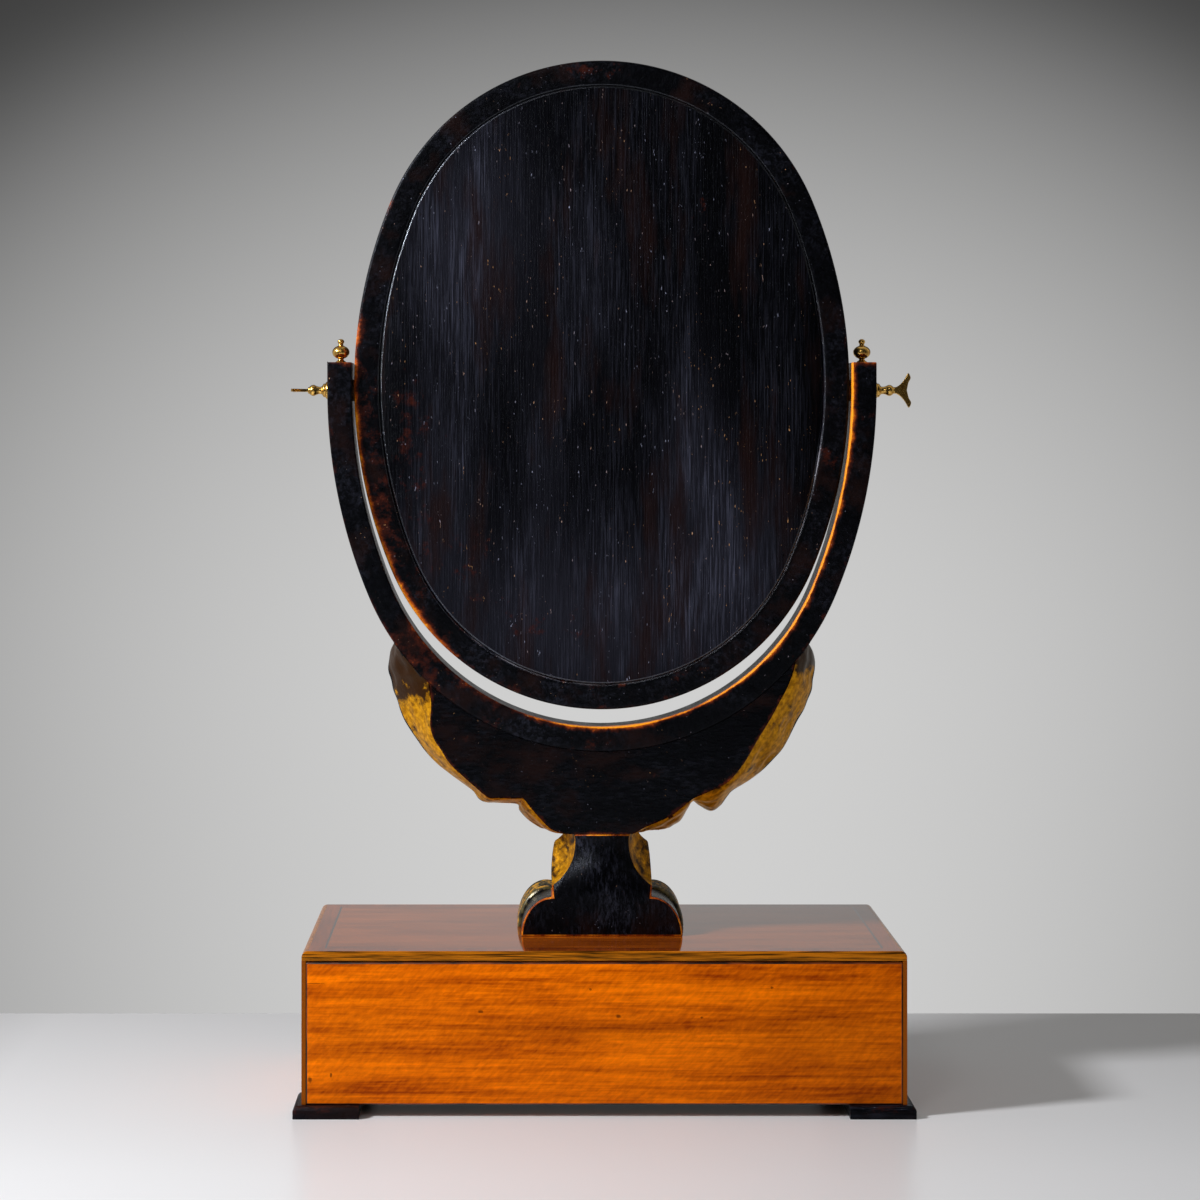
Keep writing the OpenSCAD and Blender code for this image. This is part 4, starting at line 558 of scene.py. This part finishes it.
for side in (-1, 1):
    bpy.ops.object.select_all(action="DESELECT")
    bpy.ops.mesh.primitive_uv_sphere_add(segments=72, ring_count=40, radius=38 * mm,
                                         location=(57 * side * mm, 48.4 * mm, (base_z + 68.6) * mm))
    scoop = bpy.context.object
    bpy.ops.object.mode_set(mode="EDIT")
    close(scoop, scoop_gilding)
    cut(pedestal, scoop)
    bed = start("bed", (min(40 * side, 70 * side), -20, base_z - 1),
                (max(40 * side, 70 * side), 0.8, base_z + 37))
    close(bed, pedestal_black)
    cut(pedestal, bed)
    bed = draw("bed", [(40 * side + 22 * cos(radians(a)), 0.8, base_z + max(-1, 30.3 * sin(radians(a))))
                       for a in [-10, *range(0, 181, 5), 190]])
    push_out((0, -25 * mm, 0))
    close(bed, pedestal_black)
    cut(pedestal, bed)
bpy.ops.object.shade_smooth_by_angle(angle=radians(35))
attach(pedestal, "stand")
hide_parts("pedestal_block")

# The leaf on the pedestal's front and the leaves above it are carved softwood, gilded over black.
carved_gilding = gild("gilded_carving", 0.56, 0.25)
dress(carved_gilding, "pedestal_leaf", "wing_leaf_left", "wing_leaf_right", "lower_leaf_left",
      "lower_leaf_right", "palmette")


# The scrolls beside the foot: two rolls with five turned ribs each and a volute cut into the front.
# Their bronzing has gone green and dark in the grooves and is rubbed through to gold on the ribs.
def carve(name, columns, rows, surface):
    """Starts a carved piece as a fine sheet, and moves its corners to the carver's surface."""
    bpy.ops.object.select_all(action="DESELECT")
    bpy.ops.mesh.primitive_grid_add(x_subdivisions=columns, y_subdivisions=rows, size=1)
    piece = bpy.context.object
    piece.name = piece.data.name = name
    for corner in piece.data.vertices:
        corner.co = Vector(surface(corner.co.x + 0.5, corner.co.y + 0.5)) * mm
    bpy.ops.object.mode_set(mode="EDIT")
    bpy.ops.mesh.select_all(action="SELECT")
    return piece


def rib_cut(turns):
    """How deep the carver's groove is between round ribs, from 0 on a rib to 1 in a groove."""
    return 1 - abs(sin(pi * turns)) ** 0.5


bronzed, tree, shader, place = new_finish("rubbed_bronzing", ior=1.5, metallic=0.3)
patina, tone = mottle(tree, place, 170, 5, "#1c1810", "#6a5f38", 0.38, 0.62, roughness=0.62)
rubbed = add_node(tree, "Attribute", attribute_name="wear").outputs["Fac"]
rubbed = add_node(tree, "Math", {0: patina, 1: 1.6, 2: rubbed}, operation="MULTIPLY_ADD")
for low, high, colour in ((1.45, 1.65, "#c98f2a"), (0.9, 0.7, "#0c0a08")):
    rubbed_here = add_node(tree, "MapRange", {"Value": rubbed, "From Min": low, "From Max": high})
    tone = add_node(tree, "Mix", {0: rubbed_here, 6: tone, 7: linear(colour)}, data_type="RGBA")
sheen = add_node(tree, "MapRange", {"Value": patina, "To Min": 0.18, "To Max": 0.45})
bump = add_node(tree, "Bump", {"Height": patina, "Strength": 0.5, "Distance": 0.5 * mm})
fill(shader, {"Base Color": tone, "Roughness": sheen, "Normal": bump})
for side, name in ((-1, "scroll_left"), (1, "scroll_right")):
    def scroll_surface(u, v):
        """The roll's skin: u from the middle of its back, along it and to its eye, v once round."""
        step, turn = round(u * 90), v / 0.74
        x, z = (22 * cos(pi * turn), 30.3 * sin(pi * turn)) if turn < 1 else (-22 + 44 * (v - 0.74) / 0.26, 0)
        if step <= 5:
            return 40 * side + x * 0.17 * step, 0.8, base_z + 13 + (z - 13) * 0.17 * step
        if step < 66:
            along = (step - 5) / 61
            shrink = 1 - 0.12 * rib_cut(5 * along)
            return 40 * side + x * shrink, 0.8 - 38 * along, base_z + z * shrink
        inward = (90 - step) / 24
        x, z = x * inward * 0.94, (z - 13) * inward * 0.94
        out = hypot(x, z)
        groove = rib_cut(out / 6.4 - atan2(z, x * side) / (2 * pi)) * min(1, out / 3)
        groove *= min(1, (1 - inward) * 7)
        return 40 * side + x, -37.2 + 2.2 * groove, base_z + 13 + z

    roll = carve(name + "_carved", 90, 120, scroll_surface)
    close(roll, bronzed, angle=30)
    mark(roll, "wear", lambda m: 0.74 - 0.8 * rib_cut((0.8 - m.y) / 7.6) if m.y > -36 else 0.75)
    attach(roll, "stand")
    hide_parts(name)


# The board under the yoke: a thick crescent, black on its flat back, with flanks that were scooped
# out by a gouge and gilded. Its upper wing tips run out along the hoop.
def smooth(table, steps):
    """A smooth curve through the rows of a table."""
    rows = [Vector(row) for row in table]
    curve = []
    for i in range(len(rows) - 1):
        a, b, c, d = rows[max(i - 1, 0)], rows[i], rows[i + 1], rows[min(i + 2, len(rows) - 1)]
        for k in range(steps):
            t = k / steps
            curve.append(0.5 * (2 * b + (c - a) * t + (2 * a - 5 * b + 4 * c - d) * t ** 2
                                + (3 * b - a - 3 * c + d) * t ** 3))
    return curve + [rows[-1]]


hoop_z, hoop_r, board_foot = 438.0, 185.1, 192.7
# Each row: degrees from straight down about the hoop's centre, and how far the front and the back
# outline lie outside the hoop there. They were fitted to edges read off the photograph.
right_side = [[0, 64, 63], [5, 65, 62.5], [8.2, 65.5, 60.5], [9.8, 65, 57], [12.7, 60.3, 48],
              [14.6, 55, 42.2], [15.4, 50.7, 42.6], [18.8, 54.1, 46.5], [20.6, 56.8, 49], [22, 56.5, 47.8],
              [23.8, 52.2, 45.5], [26.8, 49.9, 42], [29.8, 47.9, 38.7], [32.6, 46.2, 33.5], [35, 43.7, 29.5],
              [37.2, 40.8, 23], [39.4, 38.1, 12], [41.5, 35.4, 5], [43.4, 32, 0], [45.2, 28.2, -3],
              [47.2, 25.2, -3], [49, 21.4, -3], [51, 18.3, -3], [52.6, 13.1, -3], [54.2, 7.1, -3],
              [55.4, -1, -4]]
left_side = [[0, 64, 63], [5, 65, 61.5], [7.6, 66, 57.4], [11, 66, 54], [12.6, 64, 52.1], [13.8, 62.1, 50],
             [15.6, 54.9, 46.5], [16.8, 50.3, 44.6], [17.7, 54.9, 44], [19.4, 61.8, 43.5], [21.3, 60.3, 43],
             [22.9, 56.2, 42.7], [24.4, 53.5, 41.6], [27.9, 52.1, 35.4], [30.8, 50.4, 29.3], [33.3, 48, 24.3],
             [35.7, 45.7, 20.5], [37.7, 42.4, 17.6], [39.6, 38.9, 14.8], [41.6, 35.7, 12], [43.8, 33.2, 9.5],
             [45.7, 30, 7], [47.7, 27.1, 4], [49.4, 22.7, 1], [51.2, 19.1, -2], [52.9, 14.6, -3],
             [54.4, 8, -3], [55.4, -1, -4]]
rim_line = [Vector((-p.x, p.y, p.z)) for p in reversed(smooth(left_side, 8)[1:])] + smooth(right_side, 8)
inwards = [1, 0.8, 0.55, 0.3, 0.16, 0.08, 0.035]
flank_steps = 18


def board_surface(u, v):
    """The board's skin: u runs from wing tip to wing tip, v from the hoop over the back to the front."""
    p = rim_line[round(u * (len(rim_line) - 1))]
    ring = round(v * (len(inwards) + flank_steps + 4))
    ring %= len(inwards) + flank_steps + 4
    flank = ring - len(inwards) - 1
    if flank < -1:
        radius, y = hoop_r + p.z * (1 - inwards[ring]), stand_back
    elif flank == -1:
        radius, y = hoop_r + p.z - 0.9, stand_back
    elif flank <= flank_steps:
        f = 1 - flank / flank_steps
        gouge = noise.voronoi((p.x * 0.2, f * 2.6, 3.0 + p.x * 0.03))[0]
        cut_in = 4.2 * (gouge[0] - 0.42) * min(1, 6 * f, 5 * (1 - f)) * min(1, abs(p.y - p.z) / 7)
        radius = hoop_r + p.z + (p.y - p.z) * (1 - f) ** 0.7 + min(0.6, cut_in) - 0.2
        y = 8.0 + 33.8 * f
    elif flank == flank_steps + 1:
        radius, y = hoop_r + p.y - 0.8, stand_front
    else:
        radius, y = hoop_r, stand_front
    a = radians(p.x)
    radius = max(radius, hoop_r - 0.3)
    return radius * sin(a), y, max(hoop_z - radius * cos(a), board_foot)


def outside_board(m):
    """How far inside its back outline a point of the board lies, and how far outside the hoop."""
    a = degrees(atan2(m.x, hoop_z - m.z))
    near = min(rim_line, key=lambda p: abs(p.x - a))
    out = hypot(m.x, m.z - hoop_z) - hoop_r
    return near.z - out, out


def board_wear(m):
    inside, out = outside_board(m)
    arris = exp(-(inside / 3.2) ** 2) if m.y > 38 else 0
    foot = exp(-((m.z - board_foot) / 1.6) ** 2)
    return max(0.14 + 0.34 * arris, 0.14 + 0.4 * foot, 0.3 if m.y < 8 else 0)


board_black = ebonise("ebonised_board", (0.3, 1, 1), 2.2, (0.18, 0.34), 0.3, painted_sheen=0.1)
flank_gilding = gild("gilded_flank", 0.54)
crescent = carve("crescent_board_carved", len(rim_line) - 1, len(inwards) + flank_steps + 4, board_surface)
bpy.ops.mesh.remove_doubles(threshold=0.00001)
bpy.ops.mesh.fill_holes(sides=0)
close(crescent, board_black, flank_gilding, angle=24)
for face in crescent.data.polygons:
    middle = face.center / mm
    inside, out = outside_board(middle)
    ragged = 1.6 * noise.noise((middle.x * 0.12, middle.z * 0.12, 0.5))
    if 9 < middle.y < 41.2 + 0.4 * ragged and out > 0.5:
        face.material_index = 1
mark(crescent, "wear", board_wear)
mark(crescent, "grime", lambda m: min(1, max(0, (m.z - 282) / 24 if m.x > 0 else (m.z - 305) / 16)))
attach(crescent, "stand")
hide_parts("crescent_board")


# The hoop: a U-shaped band, bent round the mirror, its arms straight above the pivots. Its arrises
# are rounded by handling and worn through to orange wood, most along the inside at the back.
def turn_about(x, z, angle, steps):
    """Carries the selected profile round an upright axis of depth at x, z, in millimetres."""
    bpy.ops.mesh.spin(steps=steps, angle=radians(angle), center=(x * mm, 0, z * mm), axis=(0, 1, 0))


def join_ends(points):
    """Joins the last point of the line that was drawn to its first, and selects the whole line."""
    pick("VERT", lambda m, v: min((m - Vector(end)).length for end in (points[0], points[-1])) < 0.01)
    bpy.ops.mesh.edge_face_add()
    bpy.ops.mesh.select_all(action="SELECT")


def rounded_section(wide, deep, r):
    """A rectangle from the band's inner face and its front, with rounded corners."""
    points = []
    for x, y, first in ((wide - r, deep - r, 0), (r, deep - r, 90), (r, r, 180), (wide - r, r, 270)):
        points += [(x + r * cos(radians(first + a)), y + r * sin(radians(first + a)))
                   for a in (0, 22, 45, 68, 90)]
    lines = []
    for (x, y), (x2, y2) in zip(points, points[1:] + points[:1]):
        pieces = max(1, round(hypot(x2 - x, y2 - y) / 3.5))
        lines += [(x + (x2 - x) * k / pieces, y + (y2 - y) * k / pieces) for k in range(pieces)]
    return lines


band_w, arm_in, arm_shift = 18, 183, 190.8
pivot_y, pivot_z, arm_top = 24.9, 517.5, 537.9
# The hoop and the oval are each drawn with two radii, which meet on lines that rise 5 in 12.
side_turn, whole_side_turn, end_turn = 22.6199, 45.2397, 134.7603
hoop_black = ebonise("ebonised_hoop", (0.5, 1, 0.5), 1.6, (0.24, 0.42), painted_sheen=0.2)
profile = [(arm_in + x, stand_front + y, arm_top)
           for x, y in rounded_section(band_w, stand_back - stand_front, 1.3)]
hoop = draw("hoop", profile)
join_ends(profile)
for _ in range(5):
    bpy.ops.mesh.extrude_edges_move(TRANSFORM_OT_translate={"value": (0, 0, -4.08 * mm)})
turn_about(-arm_shift, pivot_z, -side_turn, 44)
turn_about(0, hoop_z, -end_turn, 150)
turn_about(arm_shift, pivot_z, -side_turn, 44)
for _ in range(5):
    bpy.ops.mesh.extrude_edges_move(TRANSFORM_OT_translate={"value": (0, 0, 4.08 * mm)})
bpy.ops.mesh.select_all(action="SELECT")
bpy.ops.mesh.remove_doubles(threshold=0.00001)
bpy.ops.mesh.fill_holes(sides=0)
pick("EDGE", lambda m, e: m.z > 537.8 and e.calc_face_angle(0) > 1)
bpy.ops.mesh.bevel(offset=0.9 * mm, segments=3)
close(hoop, hoop_black, angle=35)


def out_of_hoop(m):
    """How far a point lies outside the hoop's inner face."""
    if m.z > pivot_z:
        return abs(m.x) - arm_in
    if (pivot_z - m.z) * 12 < (abs(m.x) + arm_shift) * 5:
        return hypot(abs(m.x) + arm_shift, m.z - pivot_z) - arm_shift - arm_in
    return hypot(m.x, m.z - hoop_z) - hoop_r + band_w


def hoop_wear(m):
    out = out_of_hoop(m)
    if out < 0.6:
        inner = exp(-((stand_back - m.y) / 9) ** 2)
    else:
        inner = exp(-(out / 1.7) ** 2) * (m.y > 41)
    outer = exp(-(hypot(out - band_w, m.y - stand_back) / 2.4) ** 2)
    front = exp(-(min(hypot(out, m.y - stand_front), hypot(out - band_w, m.y - stand_front)) / 2.0) ** 2)
    low = min(1, max(0, (440 - m.z) / 110))
    right = min(1, max(0, (-m.x - 20) / 70))
    foot = max(0, 1 - abs(m.x + 15) / 120) * (m.z < 330)
    patch = 0.34 * max(0, noise.noise((m.x * 0.012, m.z * 0.012, 7.7)))
    streaks = 0.34 * max(0, noise.noise((m.x * 0.05, m.z * 0.02, 1.7))) * (m.x > 60) * low
    top = 0.5 * max(0, 1 - (arm_top - m.z) / 5)
    return max(0.14 + patch + streaks + inner * max(right, 1.15 * foot, 0.3 * low, 0.12),
               0.14 + streaks + 0.4 * outer * max(low, 0.5) * min(1, max(0, (m.z - 318) / 15)),
               0.1 + 0.4 * front, 0.16 + top)


mark(hoop, "wear", hoop_wear)
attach(hoop, "stand")
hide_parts("yoke_hoop")

# The mirror's frame: a moulding bent and glued up round the oval, ebonised, rubbed brown where the
# hands hold it. Its back is flat, its front is a roll with a hollow towards the glass.
oval_z, end_shift, end_r, side_shift, side_r = 521.3, 70.375, 167.625, 168.9, 350.6
roll = [(-9 + 9 * cos(radians(a)), 3 + 9 * sin(radians(a))) for a in range(0, 91, 9)]
hollow = [(-20.5 + 6 * cos(radians(a)), 10.2 + 6 * sin(radians(a))) for a in range(0, -71, -10)]
moulding = [(-18.6, 4), (-18.6, -4), (-18.6, -10.7), (-18.2, -11.6), (-17.3, -12), (-15, -12), (-12, -12),
            (-9, -12), (-6, -12), (-4, -12), (-2.6, -12), (-1.6, -11.9), (-0.8, -11.6), (-0.3, -11.1),
            (0, -10.4), (0, -8.5), (0, -6), (0, -3), (0, 0), *roll, (-11, 11.9), (-13, 11.4), (-14.5, 10.2),
            *hollow[1:], (-25.8, 7.4), (-27, 6.8), (-27, 5.4), (-27, 4), (-23, 4)]


def round_the_oval(name, profile):
    """Starts a ring: a profile, outwards and forwards from the oval's outline, carried round it."""
    corners = [(side_r - side_shift + out, pivot_y - forward, oval_z) for out, forward in profile]
    ring = draw(name, corners)
    join_ends(corners)
    turn_about(-side_shift, oval_z, side_turn, 24)
    turn_about(0, oval_z + end_shift, end_turn, 130)
    turn_about(side_shift, oval_z, whole_side_turn, 48)
    turn_about(0, oval_z - end_shift, end_turn, 130)
    turn_about(-side_shift, oval_z, side_turn, 24)
    return ring


def in_from_outline(m):
    """How far a point of the mirror lies inside the outline of its frame."""
    x, z = abs(m.x), abs(m.z - oval_z)
    if z * 12 > (x + side_shift) * 5:
        return end_r - hypot(x, z - end_shift)
    return side_r - hypot(x + side_shift, z)


def frame_wear(m):
    inset = in_from_outline(m)
    rear_outer = exp(-(hypot(inset, (m.y - 36.6) * 0.5) / 3.4) ** 2)
    rear_inner = exp(-(hypot(inset - 18.6, m.y - 36.9) / 1.3) ** 2)
    low = min(1, max(0, (470 - m.z) / 120))
    left = min(1, max(0, (m.x - 70) / 60)) * min(1, max(0, (600 - m.z) / 60))
    patch = 0.42 * max(0, noise.noise((m.x * 0.015, m.z * 0.015, 2.2)))
    chips = 0.9 * max(exp(-((m.x - x) ** 2 + (m.z - z) ** 2) / 14)
                      for x, z in ((15.4, 310.8), (-14.7, 303.5)))
    splinter = 1.3 * exp(-((m.x - 161) ** 2 + (m.z - 656) ** 2) / 60)
    return max(0.12 + patch * (m.y > 36),
               0.14 + 0.16 * left + 0.62 * rear_outer * max(0.35 * low, left, 0.12),
               0.1 + 0.45 * rear_inner * max(low, 0.3), 0.3 if m.y < 16 and inset < 12 else 0,
               chips, splinter)


frame_black = ebonise("ebonised_frame", (0.5, 1, 0.5), 1.5, painted_sheen=0.2)
# Its inner arris and that of the back board are burnished by rubbing, with more gloss, and carry the same
# painted grey sheen as the rest of the black.
bright_arris = ebonise("burnished_arris", (0.5, 1, 0.5), 1.0, (0.16, 0.3), 0.5, level=0.8)
rim = round_the_oval("mirror_frame_moulding", moulding)
close(rim, frame_black, bright_arris, angle=35)
for face in rim.data.polygons:
    face.material_index = int(face.center.y > 35.9 * mm and 17.3 < in_from_outline(face.center / mm) < 18.7)
mark(rim, "wear", frame_wear)


def groove_painted_highlight(m):
    """How strong a pale painted highlight stands in the groove beside the back board: most at the lower
    right.
    """
    if m.y < 35 or not 17.9 < in_from_outline(m) < 18.8:
        return 0
    side = min(1, max(0, (-0.5 * m.x + 0.8 * (500 - m.z)) / 130))
    return side * (1.55 + 0.8 * noise.noise((m.x * 0.06, m.z * 0.06, 5.5)))


mark(rim, "painted_light_mottle", groove_painted_highlight)
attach(rim, "mirror")
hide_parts("mirror_frame")

# The gilt slip between frame and glass: a fillet of gesso and leaf, burnished.
slip_gilding = gild("burnished_gilt_slip", 0.62, 0.15)
dress(slip_gilding, "gilt_slip")

# The glass: a plate silvered on its back, so that it shows a clear reflection with a little haze
# and a few grey spots near its edge.
silvered, tree, shader, place = new_finish("silvered_plate_glass", metallic=1, coat_weight=1.0,
                                           coat_roughness=0.0)
spots = add_node(tree, "TexNoise", {"Vector": place, "Scale": 160, "Detail": 5, "Roughness": 0.7})
share = add_node(tree, "MapRange", {"Value": spots, "From Min": 0.69, "From Max": 0.74})
tone = add_node(tree, "Mix", {0: share, 6: linear("#e9eceb"), 7: linear("#6d6a66")}, data_type="RGBA")
sheen = add_node(tree, "MapRange", {"Value": share, "To Min": 0.015, "To Max": 0.3})
fill(shader, {"Base Color": tone, "Roughness": sheen})
dress(silvered, "mirror_plate")

# The back board: a thin board, stained black and polished, let into the frame's rebate. It was
# planed by hand, with steep flats at its left and right edges, and its grain stands up in streaks,
# with painted bluish sheen on them and in soft patches.
def round_edges(piece, width, segments, finish=-1):
    """Rounds the sharp edges of a finished piece, by a width in millimetres, in one of its finishes."""
    rounding = piece.modifiers.new("rounding", "BEVEL")
    rounding.width = width * mm
    rounding.segments = segments
    rounding.material = finish
    rounding.limit_method = "ANGLE"
    rounding.angle_limit = radians(40)
    bpy.context.view_layer.objects.active = piece
    bpy.ops.object.modifier_apply(modifier="rounding")


cover_black = ebonise("ebonised_back_board", (1, 1, 0.03), 1.1, (0.24, 0.4), 0.8, level=0.04, painted_sheen=0.2)
inset, cover_back, half_end_turn = 19.0, 38.7, 67.3801
half = [((end_r - inset) * sin(radians(a)), end_shift + (end_r - inset) * cos(radians(a)))
        for a in [half_end_turn * k / 45 for k in range(46)]]
half += [(-side_shift + (side_r - inset) * cos(radians(a)), (side_r - inset) * sin(radians(a)))
         for a in [side_turn * (1 - k / 16) for k in range(1, 17)]]
quarter = half[:-1] + [(x, -z) for x, z in reversed(half)]
outline = quarter + [(-x, z) for x, z in reversed(quarter[1:-1])]
outline = [(x + 0.25 * noise.noise((x * 0.03, z * 0.03, 4)) - 0.12, cover_back, oval_z + z)
           for x, z in outline]
cover = draw("back_board_cover", outline)
push_out((0, -7.8 * mm, 0))
for at, out in ((157.5, 1), (-149.5, -1)):
    split_at((at, cover_back, 0), (out * 0.34, 1, 0), clear_outer=True, use_fill=True)
close(cover, cover_black, bright_arris, angle=50)
round_edges(cover, 2, 4, 1)
bpy.ops.object.mode_set(mode="EDIT")
for x in range(-144, 145, 12):
    split_at((x, 0, 0), (1, 0, 0))
for z in range(305, 740, 12):
    split_at((0, 0, z), (0, 0, 1))
bpy.ops.object.mode_set(mode="OBJECT")


def patches_at(m, patches):
    """How strongly soft round patches, each with its middle, size and strength, lie over a point."""
    return min(1, sum(strength * exp(-((m.x - x) / wide) ** 2 - ((m.z - z) / tall) ** 2)
                      for x, z, wide, tall, strength in patches))


# Painted sheen: soft patches where the black and its grain crests are painted greyer and bluer.
mark(cover, "painted_light_mottle", lambda m: patches_at(m, ((96, 632, 46, 75, 0.95), (9, 590, 20, 75, 0.3),
                                             (42, 466, 12, 80, 0.5), (-65, 463, 20, 75, 0.6),
                                             (118, 440, 22, 75, 0.6), (10, 345, 120, 60, 1.0),
                                             (-100, 408, 30, 55, 0.75))))
mark(cover, "wear", lambda m: patches_at(m, ((140, 480, 26, 95, 0.36), (96, 392, 30, 40, 0.3),
                                             (-70, 640, 20, 30, 0.3), (40, 345, 70, 18, 0.3),
                                             (70, 560, 9, 60, 0.3))))
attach(cover, "mirror")
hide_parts("back_board")

# Leather washers between the mirror's frame and the arms of the hoop keep the tilt where it is set.
leather, tree, shader, place = new_finish("brown_leather_washer", roughness=0.7, ior=1.5)
fibres, tone = mottle(tree, place, 900, 4, "#4c2a15", "#8a5830")
bump = add_node(tree, "Bump", {"Height": fibres, "Strength": 0.5, "Distance": 0.2 * mm})
fill(shader, {"Base Color": tone, "Normal": bump})
dress(leather, "washer_left", "washer_right")

# The thumbscrews: cast and turned brass, with a baluster stem and a flat fish tail for the fingers.
# Each was left where the hand let it go, so the left one stands broadside and the right one edge on.
def on_lathe(at, axis):
    """Turns the whole line round an axis through a place in millimetres."""
    bpy.ops.mesh.select_all(action="SELECT")
    bpy.ops.mesh.spin(steps=48, angle=radians(360), center=[place * mm for place in at], axis=axis)


for side, name, turn in ((-1, "left", 8), (1, "right", 90)):
    lean = radians(turn)

    def at_arm(x, y, z):
        """A point of the screw, x along it, y and z across, in millimetres of the whole mirror."""
        return (side * (201.2 + x), pivot_y + y * cos(lean) - z * sin(lean),
                pivot_z + y * sin(lean) + z * cos(lean))

    stem = [(-33, 0), (-33, 2.5), (0, 2.5), (0, 6.2), (0.3, 6.5), (0.9, 6.5), (1.6, 6), (2, 5.6), (2.2, 5),
            (3.0, 5.1), (3.5, 4.9), (4.2, 3.9)]
    baluster = [[5, 2.9], [6.6, 2.7], [8.6, 3.2], [10.6, 4.1], [12.4, 3.8], [14, 2.6]]
    stem += [tuple(p) for p in smooth(baluster, 5)]
    stem += [(15, 2.2), (15, 0)]
    screw = draw("thumbscrew_%s_brass" % name, [at_arm(x, 0, r) for x, r in stem])
    on_lathe((0, pivot_y, pivot_z), (1, 0, 0))
    close(screw, brass, angle=50)
    upper = smooth([[0, 2.3], [2.4, 2.6], [5.5, 4.8], [8.5, 8.5], [10.6, 12.4]], 5)
    outer = smooth([[12.2, 11.8], [12.9, 9], [11.2, 5.5], [10, 0]], 5)
    half = [tuple(p) for p in upper] + [(11.4, 13)] + [tuple(p) for p in outer]
    fish = [(14 + x, z) for x, z in half] + [(14 + x, -z) for x, z in reversed(half[:-1])]
    tail = draw("tail", [at_arm(x, 1.1, z) for x, z in fish])
    push_out((Vector(at_arm(0, -1.1, 0)) - Vector(at_arm(0, 1.1, 0))) * mm)
    close(tail, brass, angle=50)
    round_edges(tail, 0.5, 3)
    bpy.ops.object.select_all(action="DESELECT")
    tail.select_set(True)
    screw.select_set(True)
    bpy.context.view_layer.objects.active = screw
    bpy.ops.object.join()
    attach(screw, name + "_thumbscrew")
    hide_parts("thumbscrew_" + name)

# The finials on the arms: small knobs of turned brass, each with a waist, a ball and a button.
for side, name in ((-1, "left"), (1, "right")):
    knob = [(0, 0), (3.6, 0), (3.9, 0.3), (3.7, 0.8), (2.9, 1.3), (2.2, 1.9), (2.0, 2.5), (2.2, 2.9)]
    knob += [(6.4 * cos(radians(a)), 7.7 + 4.95 * sin(radians(a))) for a in range(-68, 69, 8)]
    knob += [(1.9, 12.7), (1.7, 13.1), (1.8, 13.5)]
    knob += [(2.5 * cos(radians(a)), 15.4 + 2.1 * sin(radians(a))) for a in range(-46, 91, 17)]
    finial = draw("finial_%s_turned" % name, [(192 * side + r, pivot_y, arm_top + z) for r, z in knob])
    on_lathe((192 * side, pivot_y, 0), (0, 0, 1))
    close(finial, brass, angle=50)
    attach(finial, "stand")
    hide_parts("finial_" + name)
